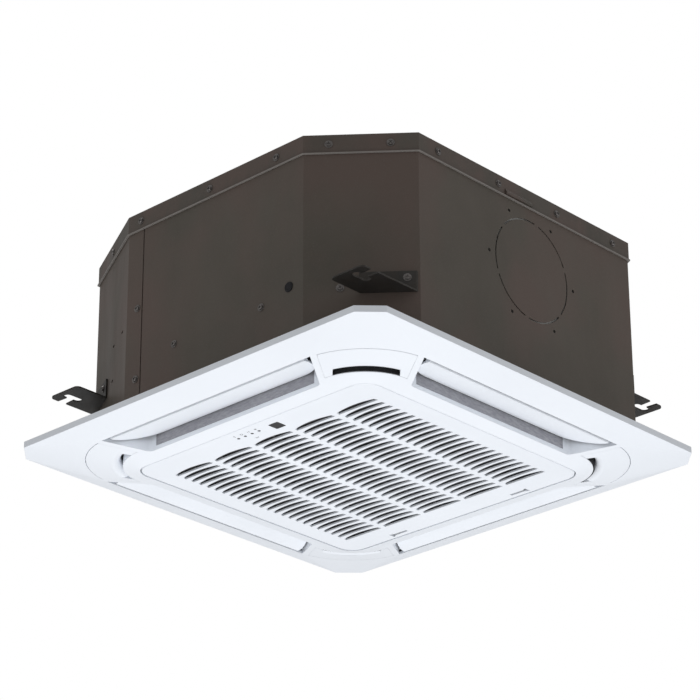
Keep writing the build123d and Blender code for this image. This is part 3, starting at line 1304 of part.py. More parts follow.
with BuildPart() as filter_mesh:
    with Locations((filter_mid_x, 0, filter_z + 2.35)):
        Box(
            filter_max_x - filter_min_x - 6.6, 2 * filter_half_y - 6.6, 0.7,
            align=(Align.CENTER, Align.CENTER, Align.MIN),
        )
filter_mesh.part.label = "filter_mesh"
export_step(filter_mesh.part, "parts/filter_mesh.step")

with BuildPart() as display_box:
    with Locations((-186.5, 0, face_z + grille_wall + seat_gap)):
        Box(23, 92, 10, align=(Align.CENTER, Align.CENTER, Align.MIN))
        Box(20, 89, 8.5, align=(Align.CENTER, Align.CENTER, Align.MIN), mode=Mode.SUBTRACT)
display_box.part.label = "display_box"
export_step(display_box.part, "parts/display_box.step")

with BuildPart() as lamp_lenses:
    with Locations(*[(lamp_x, y, face_z) for y in lamp_ys]):
        Cylinder(lamp_r, grille_wall + 0.1, align=(Align.CENTER, Align.CENTER, Align.MIN))
    with Locations(*[(lamp_x, y, face_z + grille_wall + 0.1) for y in lamp_ys]):
        Cylinder(lamp_r + 1.5, 1.6, align=(Align.CENTER, Align.CENTER, Align.MIN))
lamp_lenses.part.label = "lamp_lenses"
export_step(lamp_lenses.part, "parts/lamp_lenses.step")

with BuildPart() as receiver_window:
    with BuildSketch(Plane.XY.offset(face_z + 0.2)):
        with Locations((window_x, window_y)):
            RectangleRounded(window_side, window_side, window_round)
    extrude(amount=grille_wall)
    with Locations((window_x, window_y, face_z + grille_wall + 0.1)):
        Box(window_side + 1, window_side + 1, 1.2, align=(Align.CENTER, Align.CENTER, Align.MIN))
receiver_window.part.label = "receiver_window"
export_step(receiver_window.part, "parts/receiver_window.step")
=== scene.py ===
import json
import math
import bpy
from mathutils import Matrix, Vector


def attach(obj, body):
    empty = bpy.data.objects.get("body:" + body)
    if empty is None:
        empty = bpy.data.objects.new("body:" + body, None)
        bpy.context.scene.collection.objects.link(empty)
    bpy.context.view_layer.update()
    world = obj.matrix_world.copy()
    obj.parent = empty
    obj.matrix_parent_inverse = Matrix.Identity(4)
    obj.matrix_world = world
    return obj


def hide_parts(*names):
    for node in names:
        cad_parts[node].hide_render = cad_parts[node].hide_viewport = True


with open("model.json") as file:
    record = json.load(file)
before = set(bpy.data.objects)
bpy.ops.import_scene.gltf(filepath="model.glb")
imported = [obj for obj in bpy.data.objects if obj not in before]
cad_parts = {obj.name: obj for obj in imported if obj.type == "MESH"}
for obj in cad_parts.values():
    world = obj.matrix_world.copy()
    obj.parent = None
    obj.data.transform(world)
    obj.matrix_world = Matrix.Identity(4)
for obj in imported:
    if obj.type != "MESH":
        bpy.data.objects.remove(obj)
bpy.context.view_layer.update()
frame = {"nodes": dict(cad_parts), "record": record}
nodes = frame["nodes"]
print("frame loaded,", len(nodes), "nodes")


# a new material's tree and shader, with the place on the piece that every pattern reads
def newMaterial(name):
    material = bpy.data.materials.new(name)
    material.use_nodes = True
    tree = material.node_tree
    tree.nodes.clear()
    output = tree.nodes.new("ShaderNodeOutputMaterial")
    shader = tree.nodes.new("ShaderNodeBsdfPrincipled")
    tree.links.new(shader.outputs["BSDF"], output.inputs["Surface"])
    place = tree.nodes.new("ShaderNodeTexCoord")
    return material, tree, shader, place.outputs["Object"]


def stretched(tree, vector, scale):
    mapping = tree.nodes.new("ShaderNodeMapping")
    mapping.inputs["Scale"].default_value = scale
    tree.links.new(vector, mapping.inputs["Vector"])
    return mapping.outputs["Vector"]


def separated(tree, vector):
    node = tree.nodes.new("ShaderNodeSeparateXYZ")
    tree.links.new(vector, node.inputs["Vector"])
    return node.outputs


def noise(tree, vector, scale, detail=3.0, roughness=0.5):
    texture = tree.nodes.new("ShaderNodeTexNoise")
    texture.inputs["Scale"].default_value = scale
    texture.inputs["Detail"].default_value = detail
    texture.inputs["Roughness"].default_value = roughness
    tree.links.new(vector, texture.inputs["Vector"])
    return texture.outputs["Fac"]


def cells(tree, vector, scale, feature="F1", output="Distance"):
    texture = tree.nodes.new("ShaderNodeTexVoronoi")
    texture.feature = feature
    texture.inputs["Scale"].default_value = scale
    tree.links.new(vector, texture.inputs["Vector"])
    return texture.outputs[output]


def bands(tree, vector, scale, direction):
    texture = tree.nodes.new("ShaderNodeTexWave")
    texture.bands_direction = direction
    texture.inputs["Scale"].default_value = scale
    tree.links.new(vector, texture.inputs["Vector"])
    return texture.outputs["Fac"]


def spread(tree, value, low, high, toLow=0.0, toHigh=1.0):
    node = tree.nodes.new("ShaderNodeMapRange")
    node.inputs["From Min"].default_value = low
    node.inputs["From Max"].default_value = high
    node.inputs["To Min"].default_value = toLow
    node.inputs["To Max"].default_value = toHigh
    tree.links.new(value, node.inputs["Value"])
    return node.outputs["Result"]


def calculate(tree, operation, first, second=0.0):
    node = tree.nodes.new("ShaderNodeMath")
    node.operation = operation
    for socket, value in zip(node.inputs, (first, second)):
        if isinstance(value, (int, float)):
            socket.default_value = value
        else:
            tree.links.new(value, socket)
    return node.outputs["Value"]


def blended(tree, factor, first, second):
    node = tree.nodes.new("ShaderNodeMix")
    node.data_type = "RGBA"
    tree.links.new(factor, node.inputs["Factor"])
    sockets = [socket for socket in node.inputs if socket.type == "RGBA"]
    for socket, value in zip(sockets, (first, second)):
        if isinstance(value, tuple):
            socket.default_value = (*value, 1.0)
        else:
            tree.links.new(value, socket)
    return [socket for socket in node.outputs if socket.type == "RGBA"][0]


# a bump from a height, laid over the normal given as under
def raised(tree, shader, height, distance, strength=1.0, under=None):
    node = tree.nodes.new("ShaderNodeBump")
    node.inputs["Strength"].default_value = strength
    node.inputs["Distance"].default_value = distance
    tree.links.new(height, node.inputs["Height"])
    if under is not None:
        tree.links.new(under, node.inputs["Normal"])
    tree.links.new(node.outputs["Normal"], shader.inputs["Normal"])
    return node.outputs["Normal"]


# a shading normal with every sharp edge eased
def easedEdges(tree, radius, samples=4):
    node = tree.nodes.new("ShaderNodeBevel")
    node.samples = samples
    node.inputs["Radius"].default_value = radius
    return node.outputs["Normal"]


# how near a sharp edge a point is, from 0 on a flat to 1 at the edge
def nearEdge(tree, radius, low, high):
    plain = tree.nodes.new("ShaderNodeNewGeometry")
    dot = tree.nodes.new("ShaderNodeVectorMath")
    dot.operation = "DOT_PRODUCT"
    tree.links.new(easedEdges(tree, radius, samples=6), dot.inputs[0])
    tree.links.new(plain.outputs["True Normal"], dot.inputs[1])
    return spread(tree, dot.outputs["Value"], high, low)


noiseLow, noiseHigh = 0.3, 0.7  # nearly all of a noise's values lie between these


# a finish's dark and pale tones, shared out by a pattern
def twoTones(tree, pattern, values, low=noiseLow, high=noiseHigh):
    return blended(tree, spread(tree, pattern, low, high), values["dark"], values["pale"])


# one more colour over a tone where a pattern is strong, up to a share of it
def stained(tree, tone, colour, pattern, low, high, share):
    return blended(tree, spread(tree, pattern, low, high, 0.0, share), tone, colour)


# a roughness that follows a pattern
def sheen(tree, shader, pattern, values):
    rough = spread(tree, pattern, noiseLow, noiseHigh, values["smooth"], values["rough"])
    tree.links.new(rough, shader.inputs["Roughness"])


# coated steel sheet: mottled satin film over a slightly wavy sheet, rubbed along its edges; where a hem is
# given, a painted highlight along it
def coatedSheet(name, values):
    material, tree, shader, place = newMaterial(name)
    patch = noise(tree, place, values["patchScale"], detail=4.0, roughness=0.6)
    tone = twoTones(tree, patch, values, low=0.32, high=0.68)
    upright = stretched(tree, place, scale=(1.3, 1.3, 0.9))
    cast = noise(tree, upright, values["castScale"], roughness=0.6)
    tone = stained(tree, tone, values["cast"], cast, low=0.42, high=0.62, share=values["castShare"])
    fleck = noise(tree, place, values["fleckScale"], detail=2.0, roughness=0.7)
    tone = stained(tree, tone, values["fleck"], fleck, low=0.56, high=0.72, share=values["fleckShare"])
    edge = nearEdge(tree, radius=0.0009, low=0.80, high=0.97)
    chips = spread(tree, noise(tree, place, scale=160.0, roughness=0.6), low=0.44, high=0.62)
    worn = calculate(tree, "MULTIPLY", edge, chips)
    worn = calculate(tree, "MULTIPLY", worn, values["rubShare"])
    tone = blended(tree, worn, tone, values["rubbed"])
    # painted highlight: a pale band along the lowest two millimetres of the hem, where light from below
    # catches it
    if "hem" in values:
        height = separated(tree, place)["Z"]
        above = spread(tree, height, values["hem"] + values["hemLow"], values["hem"] + values["hemHigh"])
        tone = blended(tree, above, values["hemHighlight"], tone)
    tree.links.new(tone, shader.inputs["Base Color"])
    runs = stretched(tree, place, scale=(1.0, 1.0, 0.25))
    sheen(tree, shader, noise(tree, runs, scale=22.0, detail=4.0, roughness=0.6), values)
    shader.inputs["Specular IOR Level"].default_value = values["gloss"]
    wave = noise(tree, place, scale=11.0, detail=1.0, roughness=0.4)
    wavy = raised(tree, shader, wave, values["waveHeight"], under=easedEdges(tree, radius=0.0006))
    grain = noise(tree, place, scale=850.0, detail=2.0)
    raised(tree, shader, grain, distance=0.00005, strength=0.6, under=wavy)
    return material


# zinc on steel: spangled crystals with their own tone and gloss
def zincSheet(name, values):
    material, tree, shader, place = newMaterial(name)
    crystal = cells(tree, place, values["crystalScale"], output="Color")
    flake = noise(tree, crystal, scale=3.0, detail=1.0)
    tone = twoTones(tree, flake, values)
    dull = noise(tree, place, scale=30.0, detail=4.0, roughness=0.6)
    tone = stained(tree, tone, values["dull"], dull, low=0.5, high=0.8, share=0.5)
    tree.links.new(tone, shader.inputs["Base Color"])
    sheen(tree, shader, flake, values)
    shader.inputs["Metallic"].default_value = 1.0
    grain = noise(tree, place, scale=700.0, detail=2.0)
    raised(tree, shader, grain, distance=0.00003, strength=0.5)
    return material


# moulded plastic with an eroded grain
def mouldedPlastic(name, values):
    material, tree, shader, place = newMaterial(name)
    cloud = noise(tree, place, values["cloudScale"], roughness=0.55)
    tree.links.new(twoTones(tree, cloud, values), shader.inputs["Base Color"])
    fine = noise(tree, place, values["grainScale"] * 0.8, detail=2.0)
    sheen(tree, shader, fine, values)
    shader.inputs["Specular IOR Level"].default_value = values["gloss"]
    sink = noise(tree, place, scale=14.0, detail=1.0)
    sunk = raised(tree, shader, sink, values["sinkHeight"], under=easedEdges(tree, values["edgeRound"]))
    grain = cells(tree, place, values["grainScale"])
    raised(tree, shader, grain, values["grainHeight"], strength=0.7, under=sunk)
    return material


# inner duct wall: matt plastic scuffed along the air's way
def scuffedPlastic(name, values):
    material, tree, shader, place = newMaterial(name)
    cloud = noise(tree, place, values["cloudScale"], detail=4.0, roughness=0.6)
    tone = twoTones(tree, cloud, values)
    airWay = stretched(tree, place, scale=(0.25, 0.25, 1.0))
    scuff = noise(tree, airWay, values["scuffScale"], detail=4.0, roughness=0.75)
    tone = stained(tree, tone, values["scuff"], scuff, low=0.42, high=0.62, share=values["scuffShare"])
    tree.links.new(tone, shader.inputs["Base Color"])
    sheen(tree, shader, scuff, values)
    shader.inputs["Specular IOR Level"].default_value = values["gloss"]
    raised(tree, shader, scuff, values["scuffHeight"], strength=0.8)
    return material


# expanded foam: pressed beads with darker seams between them
def beadFoam(name, values):
    material, tree, shader, place = newMaterial(name)
    bead = cells(tree, place, values["beadScale"])
    tone = blended(tree, spread(tree, bead, low=0.35, high=0.75), values["pale"], values["dark"])
    cloud = noise(tree, place, scale=9.0)
    tone = stained(tree, tone, values["shade"], cloud, low=0.4, high=0.8, share=0.35)
    tree.links.new(tone, shader.inputs["Base Color"])
    shader.inputs["Roughness"].default_value = values["rough"]
    shader.inputs["Specular IOR Level"].default_value = 0.25
    raised(tree, shader, calculate(tree, "SUBTRACT", 1.0, bead), values["beadHeight"])
    return material


# drawn, turned or ground metal: fine lines along one axis under a thin stain
def workedMetal(name, values):
    material, tree, shader, place = newMaterial(name)
    lines = noise(tree, stretched(tree, place, values["lineScale"]), scale=1.0, roughness=0.7)
    tone = twoTones(tree, lines, values)
    stain = noise(tree, place, values["stainScale"], detail=4.0, roughness=0.6)
    tone = stained(tree, tone, values["stain"], stain, low=0.52, high=0.75, share=values["stainShare"])
    tree.links.new(tone, shader.inputs["Base Color"])
    shader.inputs["Metallic"].default_value = 1.0
    sheen(tree, shader, lines, values)
    raised(tree, shader, lines, distance=0.00003, strength=0.6)
    return material


# fin pack: thin plates on edge, crossing the run they stand on, with painted shade in the gaps between them
def finPack(name, values):
    material, tree, shader, place = newMaterial(name)
    axes = separated(tree, place)
    wideX = calculate(tree, "ABSOLUTE", axes["X"])
    wideY = calculate(tree, "ABSOLUTE", axes["Y"])
    alongY = calculate(tree, "GREATER_THAN", wideX, wideY)
    alongX = calculate(tree, "SUBTRACT", 1.0, alongY)
    runY = calculate(tree, "MULTIPLY", axes["Y"], alongY)
    runX = calculate(tree, "MULTIPLY", axes["X"], alongX)
    run = calculate(tree, "ADD", runY, runX)
    ridge = calculate(tree, "PINGPONG", run, values["finPitch"] / 2)
    height = calculate(tree, "DIVIDE", ridge, values["finPitch"] / 2)
    # painted shade: the gaps between the plates are painted dark and the plates' edges pale
    tone = blended(tree, spread(tree, height, low=0.25, high=0.7), values["gapShade"], values["fin"])
    bent = noise(tree, place, scale=45.0)
    tone = stained(tree, tone, values["bent"], bent, low=0.55, high=0.75, share=0.5)
    tree.links.new(tone, shader.inputs["Base Color"])
    shader.inputs["Metallic"].default_value = 1.0
    shader.inputs["Roughness"].default_value = values["rough"]
    raised(tree, shader, height, values["finHeight"])
    return material


# filter net: woven threads crossing squarely, with painted shade in the openings between them
def threadNet(name, values):
    material, tree, shader, place = newMaterial(name)
    across = bands(tree, place, values["threadScale"], "X")
    along = bands(tree, place, values["threadScale"], "Y")
    weave = calculate(tree, "MAXIMUM", across, along)
    # painted shade: the openings between the threads are painted dark, for the shade seen through them
    tone = blended(tree, spread(tree, weave, low=0.7, high=0.95), values["gapShade"], values["thread"])
    dust = noise(tree, place, scale=18.0, detail=4.0)
    tone = stained(tree, tone, values["dust"], dust, low=0.5, high=0.8, share=0.3)
    tree.links.new(tone, shader.inputs["Base Color"])
    shader.inputs["Roughness"].default_value = 0.8
    raised(tree, shader, weave, values["threadHeight"])
    return material


# circuit board: solder mask over routed tracks, with tinned pads
def circuitBoard(name, values):
    material, tree, shader, place = newMaterial(name)
    narrow = stretched(tree, place, scale=(1.0, 1.6, 1.0))
    route = cells(tree, narrow, values["trackScale"], feature="DISTANCE_TO_EDGE")
    tone = blended(tree, spread(tree, route, low=0.03, high=0.07), values["track"], values["mask"])
    pad = cells(tree, place, values["padScale"])
    tone = blended(tree, spread(tree, pad, low=0.12, high=0.17), values["pad"], tone)
    tree.links.new(tone, shader.inputs["Base Color"])
    shader.inputs["Roughness"].default_value = 0.35
    raised(tree, shader, route, values["trackHeight"])
    return material


# values that several slots share, each changed where a slot needs it
paint = {
    "dark": (0.086, 0.075, 0.061), "pale": (0.108, 0.092, 0.076), "patchScale": 5.0,
    "cast": (0.118, 0.083, 0.071), "castScale": 4.5, "castShare": 0.75,
    "fleck": (0.16, 0.145, 0.125), "fleckScale": 620.0, "fleckShare": 0.25,
    "rubbed": (0.24, 0.22, 0.20), "rubShare": 0.45, "smooth": 0.42, "rough": 0.58,
    "gloss": 0.35, "waveHeight": 0.0007,
}
# the lid's paint, with a painted highlight along its lower hem
lidPaint = dict(
    paint, dark=(0.074, 0.065, 0.054), pale=(0.096, 0.084, 0.071), patchScale=7.0, castScale=11.0,
    hem=min(vertex.co.z for vertex in nodes["top_plate"].data.vertices), hemLow=0.0008, hemHigh=0.0018,
    hemHighlight=(0.26, 0.24, 0.225),
)
hangerPaint = dict(
    paint, dark=(0.030, 0.028, 0.025), pale=(0.048, 0.044, 0.040), patchScale=24.0,
    cast=(0.044, 0.037, 0.031), castScale=30.0, fleck=(0.09, 0.085, 0.08),
    rubbed=(0.20, 0.19, 0.17), rubShare=0.6, waveHeight=0.0002,
)
galvanised = {
    "dark": (0.30, 0.31, 0.32), "pale": (0.52, 0.53, 0.54), "dull": (0.40, 0.41, 0.42),
    "crystalScale": 95.0, "smooth": 0.32, "rough": 0.52,
}
whitePanel = {
    "dark": (0.760, 0.795, 0.850), "pale": (0.800, 0.835, 0.890), "cloudScale": 3.0,
    "grainScale": 1500.0, "grainHeight": 0.00002, "sinkHeight": 0.00015,
    "smooth": 0.30, "rough": 0.42, "gloss": 0.45, "edgeRound": 0.0007,
}
pipePlastic = {
    "dark": (0.20, 0.21, 0.22), "pale": (0.25, 0.26, 0.27), "cloudScale": 26.0,
    "grainScale": 900.0, "grainHeight": 0.00008, "sinkHeight": 0.0002,
    "smooth": 0.55, "rough": 0.75, "gloss": 0.35, "edgeRound": 0.0005,
}
darkMoulding = {
    "dark": (0.022, 0.022, 0.024), "pale": (0.036, 0.036, 0.039), "cloudScale": 22.0,
    "grainScale": 1100.0, "grainHeight": 0.00005, "sinkHeight": 0.0001,
    "smooth": 0.42, "rough": 0.60, "gloss": 0.40, "edgeRound": 0.0004,
}

# the finish of each material slot
finishes = {
    "casing_paint": coatedSheet("casingPaint", paint),
    "lid_paint": coatedSheet("lidPaint", lidPaint),
    "hanger_paint": coatedSheet("hangerPaint", hangerPaint),
    "screw_zinc": zincSheet("screwZinc", dict(
        galvanised, crystalScale=900.0,
        dark=(0.15, 0.14, 0.135), pale=(0.30, 0.28, 0.27), dull=(0.11, 0.10, 0.095))),
    "plate_zinc": zincSheet("plateZinc", galvanised),
    "motor_steel": zincSheet("motorSteel", dict(galvanised, crystalScale=260.0, dark=(0.36, 0.36, 0.37))),
    "liner_foam": beadFoam("linerFoam", {
        "pale": (0.70, 0.70, 0.68), "dark": (0.50, 0.50, 0.49), "shade": (0.60, 0.59, 0.56),
        "beadScale": 260.0, "beadHeight": 0.0006, "rough": 0.85}),
    "pan_foam": beadFoam("panFoam", {
        "pale": (0.78, 0.78, 0.77), "dark": (0.60, 0.60, 0.60), "shade": (0.68, 0.67, 0.65),
        "beadScale": 300.0, "beadHeight": 0.0004, "rough": 0.75}),
    "black_foam": beadFoam("blackFoam", {
        "pale": (0.016, 0.016, 0.017), "dark": (0.006, 0.006, 0.007), "shade": (0.024, 0.024, 0.025),
        "beadScale": 900.0, "beadHeight": 0.0003, "rough": 0.95}),
    # the fin pack's darkest tone is painted shade in the gaps between the fins
    "fin_aluminium": finPack("finAluminium", {
        "fin": (0.62, 0.64, 0.66), "gapShade": (0.05, 0.05, 0.055), "bent": (0.42, 0.43, 0.44),
        "finPitch": 0.0016, "finHeight": 0.0006, "rough": 0.38}),
    "copper": workedMetal("copper", {
        "dark": (0.62, 0.28, 0.16), "pale": (0.80, 0.42, 0.27), "lineScale": (12.0, 900.0, 900.0),
        "stain": (0.34, 0.17, 0.11), "stainScale": 38.0, "stainShare": 0.7, "smooth": 0.22, "rough": 0.42}),
    "brass": workedMetal("brass", {
        "dark": (0.58, 0.42, 0.16), "pale": (0.76, 0.58, 0.26), "lineScale": (1400.0, 60.0, 60.0),
        "stain": (0.42, 0.30, 0.12), "stainScale": 60.0, "stainShare": 0.5, "smooth": 0.20, "rough": 0.40}),
    "shaft_steel": workedMetal("shaftSteel", {
        "dark": (0.40, 0.40, 0.41), "pale": (0.56, 0.56, 0.57), "lineScale": (60.0, 60.0, 1600.0),
        "stain": (0.30, 0.29, 0.28), "stainScale": 50.0, "stainShare": 0.3, "smooth": 0.18, "rough": 0.34}),
    "panel_white": mouldedPlastic("panelWhite", whitePanel),
    "louvre_white": mouldedPlastic("louvreWhite", dict(whitePanel, cloudScale=7.0)),
    "grille_white": mouldedPlastic("grilleWhite", dict(whitePanel, cloudScale=5.0)),
    "duct_grey": scuffedPlastic("ductGrey", {
        "dark": (0.30, 0.30, 0.33), "pale": (0.38, 0.38, 0.41), "cloudScale": 34.0,
        "scuff": (0.20, 0.20, 0.225), "scuffScale": 420.0, "scuffShare": 0.55, "scuffHeight": 0.00015,
        "smooth": 0.5, "rough": 0.75, "gloss": 0.35}),
    "mouth_plastic": mouldedPlastic("mouthPlastic", dict(darkMoulding, dark=(0.030, 0.030, 0.032))),
    "fan_plastic": mouldedPlastic("fanPlastic", dict(darkMoulding, grainScale=600.0)),
    "dark_plastic": mouldedPlastic("darkPlastic", darkMoulding),
    "filter_plastic": mouldedPlastic("filterPlastic", dict(darkMoulding, cloudScale=9.0)),
    "mount_rubber": mouldedPlastic("mountRubber", dict(darkMoulding, smooth=0.75, rough=0.92, gloss=0.2)),
    "pump_plastic": mouldedPlastic("pumpPlastic", dict(
        whitePanel, dark=(0.56, 0.56, 0.53), pale=(0.64, 0.64, 0.61), smooth=0.4, rough=0.55)),
    "hose_plastic": mouldedPlastic("hosePlastic", dict(
        pipePlastic, dark=(0.33, 0.35, 0.37), pale=(0.40, 0.42, 0.44), grainScale=320.0, grainHeight=0.0003)),
    "spigot_plastic": mouldedPlastic("spigotPlastic", pipePlastic),
    # the net's darkest tone is painted shade in the openings between the threads
    "mesh_dark": threadNet("meshDark", {
        "thread": (0.10, 0.098, 0.10), "gapShade": (0.020, 0.020, 0.022), "dust": (0.13, 0.125, 0.12),
        "threadScale": 210.0, "threadHeight": 0.0003}),
    "board": circuitBoard("board", {
        "mask": (0.012, 0.09, 0.035), "track": (0.03, 0.16, 0.06), "pad": (0.55, 0.52, 0.42),
        "trackScale": 170.0, "trackHeight": 0.00008, "padScale": 240.0}),
    "lamp_lens": mouldedPlastic("lampLens", dict(
        whitePanel, dark=(0.012, 0.012, 0.014), pale=(0.022, 0.022, 0.025),
        smooth=0.45, rough=0.2, grainHeight=0.000005)),
    "window_dark": mouldedPlastic("windowDark", dict(
        darkMoulding, dark=(0.006, 0.006, 0.008), pale=(0.012, 0.012, 0.014),
        smooth=0.08, rough=0.14, grainHeight=0.000005, gloss=0.6)),
}
for part in frame["record"]["subparts"]:
    for slot in nodes[part["node"]].material_slots:
        slot.material = finishes[part["material_slot"]]
# painted shade: the white latches are painted mid grey for the shade of the recess they sit in
latchShadeGrey = mouldedPlastic("latchShadeGrey", dict(
    whitePanel, dark=(0.24, 0.245, 0.255), pale=(0.30, 0.305, 0.315)))
for latch in ("latch_back", "latch_front"):
    nodes[latch].material_slots[0].material = latchShadeGrey
print("finishes given to the nodes")


def deselect():
    bpy.ops.object.select_all(action="DESELECT")


def keepOnly(piece):
    deselect()
    piece.select_set(True)
    bpy.context.view_layer.objects.active = piece


def applyPlace():
    bpy.ops.object.transform_apply(location=True, rotation=True, scale=True)


# opens a piece in edit mode with only the faces that look up selected
def selectTop(piece, facing=0.9):
    bpy.ops.object.mode_set(mode="EDIT")
    bpy.ops.mesh.select_all(action="DESELECT")
    bpy.ops.object.mode_set(mode="OBJECT")
    for face in piece.data.polygons:
        face.select = face.normal.z > facing
    bpy.ops.object.mode_set(mode="EDIT")
    bpy.ops.mesh.select_mode(type="FACE")


# draws the selected faces up by a step and narrows them about the Z axis
def drawUp(step, narrowing):
    bpy.ops.mesh.extrude_region_move(TRANSFORM_OT_translate={"value": (0.0, 0.0, step)})
    bpy.ops.transform.resize(value=(narrowing, narrowing, 1.0), center_override=(0.0, 0.0, 0.0))


def turnOut(piece):
    keepOnly(piece)
    bpy.ops.object.mode_set(mode="EDIT")
    bpy.ops.mesh.select_all(action="SELECT")
    bpy.ops.mesh.normals_make_consistent(inside=False)
    bpy.ops.object.mode_set(mode="OBJECT")


def joined(pieces, name):
    deselect()
    for piece in pieces:
        piece.select_set(True)
    bpy.context.view_layer.objects.active = pieces[0]
    bpy.ops.object.join()
    bpy.context.object.name = name
    return bpy.context.object


# carries a piece modelled on the Z axis to a seat, facing the way given
def toSeat(place, direction):
    return Matrix.Translation(place) @ direction.to_track_quat("Z", "Y").to_matrix().to_4x4()


def finishWith(piece, finish):
    piece.data.materials.clear()
    piece.data.materials.append(finish)


# washer-head screw with a cross recess, modelled once and set on every seat; lengths in metres
screwHead = {
    "flange": 0.0052, "flangeRise": 0.0008, "head": 0.0034, "rise": 0.0026,
    "steps": ((0.60, 1.0), (0.25, 0.93), (0.15, 0.78)),  # share of the rise, narrowing
    "slot": 0.0009, "slotReach": 0.0046, "cutterHeight": 0.0026,
    "seatsApart": 0.014, "rimDepth": 0.0001, "smoothDegrees": 35,
    "turnByX": 11.0, "turnByZ": 37.0,  # so that no two recesses stand alike
    "wallSeat": (-0.28495, 0.0545, 0.0081),  # one more screw, over the left wall's small hole
}
leftward = Vector((-1.0, 0.0, 0.0))  # the way out of the left wall


# the faces of each plain screw, grouped by place since the mesh is loose
def screwGroups(mesh):
    groups = []
    for face in mesh.polygons:
        near = [faces for faces in groups if (faces[0].center - face.center).length < screwHead["seatsApart"]]
        if near:
            near[0].append(face)
        else:
            groups.append([face])
    return groups


# the seat point and outward direction of every screw, read off the plain screws
def screwSeats(mesh):
    seats = []
    for faces in screwGroups(mesh):
        areas = {}
        for face in faces:
            facing = tuple(round(value, 2) for value in face.normal)
            areas[facing] = areas.get(facing, 0.0) + face.area
        corners = {index for face in faces for index in face.vertices}
        points = [mesh.vertices[index].co for index in corners]
        middle = sum(points, Vector()) / len(points)
        outward = [facing for facing in areas if facing[0] * middle.x + facing[1] * middle.y > 0]
        direction = Vector(max(outward, key=areas.get)).normalized()
        reach = max(point.dot(direction) for point in points)
        rim = [point for point in points if point.dot(direction) > reach - screwHead["rimDepth"]]
        seats.append((sum(rim, Vector()) / len(rim) - direction * screwHead["rise"], direction))
    return seats


deselect()
bpy.ops.mesh.primitive_cylinder_add(
    vertices=28, radius=screwHead["flange"], depth=screwHead["flangeRise"],
    location=(0.0, 0.0, screwHead["flangeRise"] / 2))
screw = bpy.context.object
applyPlace()
selectTop(screw)
bpy.ops.mesh.inset(thickness=screwHead["flange"] - screwHead["head"])
for share, narrowing in screwHead["steps"]:
    drawUp((screwHead["rise"] - screwHead["flangeRise"]) * share, narrowing)
bpy.ops.object.mode_set(mode="OBJECT")
for turn in (0.0, math.pi / 2):
    bpy.ops.mesh.primitive_cube_add(
        size=1.0, location=(0.0, 0.0, screwHead["rise"]), rotation=(0.0, 0.0, turn))
    cutter = bpy.context.object
    cutter.scale = (screwHead["slotReach"], screwHead["slot"], screwHead["cutterHeight"])
    keepOnly(cutter)
    applyPlace()
    keepOnly(screw)
    recess = screw.modifiers.new("recess", "BOOLEAN")
    recess.object = cutter
    recess.operation = "DIFFERENCE"
    recess.solver = "EXACT"
    bpy.ops.object.modifier_apply(modifier=recess.name)
    bpy.data.objects.remove(cutter, do_unlink=True)
copies = []
seats = screwSeats(nodes["casing_screws"].data)
seats.append((Vector(screwHead["wallSeat"]), leftward))
for place, direction in seats:
    copy = screw.copy()
    copy.data = screw.data.copy()
    turn = place.z * screwHead["turnByZ"] + place.x * screwHead["turnByX"]
    copy.data.transform(toSeat(place, direction) @ Matrix.Rotation(turn, 4, "Z"))
    bpy.context.scene.collection.objects.link(copy)
    copies.append(copy)
bpy.data.objects.remove(screw, do_unlink=True)
screwHeads = joined(copies, "screwHeads")
bpy.ops.object.shade_smooth_by_angle(angle=math.radians(screwHead["smoothDegrees"]))
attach(screwHeads, "housing")
finishWith(screwHeads, finishes["screw_zinc"])
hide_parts("casing_screws")
print("screw heads modelled,", len(copies))

# rubber bung in the left wall's service hole: a disc with a rolled rim and a dished middle
bung = {
    "place": (-0.2850, -0.1508, 0.0191), "radius": 0.0068, "base": 0.0008, "rise": 0.0016,
    "steps": ((0.5, 0.90), (0.5, 0.80), (-0.55, 0.86), (-0.25, 0.80), (0.1, 0.55)),  # as the screw's steps
    "smoothDegrees": 40,
}
deselect()
bpy.ops.mesh.primitive_cylinder_add(
    vertices=40, radius=bung["radius"], depth=bung["base"], location=(0.0, 0.0, bung["base"] / 2))
plug = bpy.context.object
plug.name = "wallBung"
applyPlace()
selectTop(plug)
for share, narrowing in bung["steps"]:
    drawUp(bung["rise"] * share, narrowing)
bpy.ops.object.mode_set(mode="OBJECT")
plug.data.transform(toSeat(bung["place"], leftward))
bpy.ops.object.shade_smooth_by_angle(angle=math.radians(bung["smoothDegrees"]))
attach(plug, "housing")
finishWith(plug, finishes["mount_rubber"])
print("wall bung modelled")

# the rib in the middle of the grille: straight on one side, bowed and leaning on the other
middleRib = {
    "low": -0.1005, "wall": 0.0025, "reach": 0.0330, "shoulder": 0.0315, "bow": 0.0045, "endSlope": 3.0,
    "straight": -0.001565, "nextSlot": 0.007015, "lean": 0.95,
}
bowRadius = (middleRib["shoulder"] ** 2 + middleRib["bow"] ** 2) / (2 * middleRib["bow"])


# how far the bowed side of a slot stands out at a place along it
def bowAt(y):
    if abs(y) < middleRib["shoulder"]:
        return middleRib["bow"] - bowRadius + math.sqrt(bowRadius ** 2 - y ** 2)
    return -middleRib["endSlope"] * (abs(y) - middleRib["shoulder"])


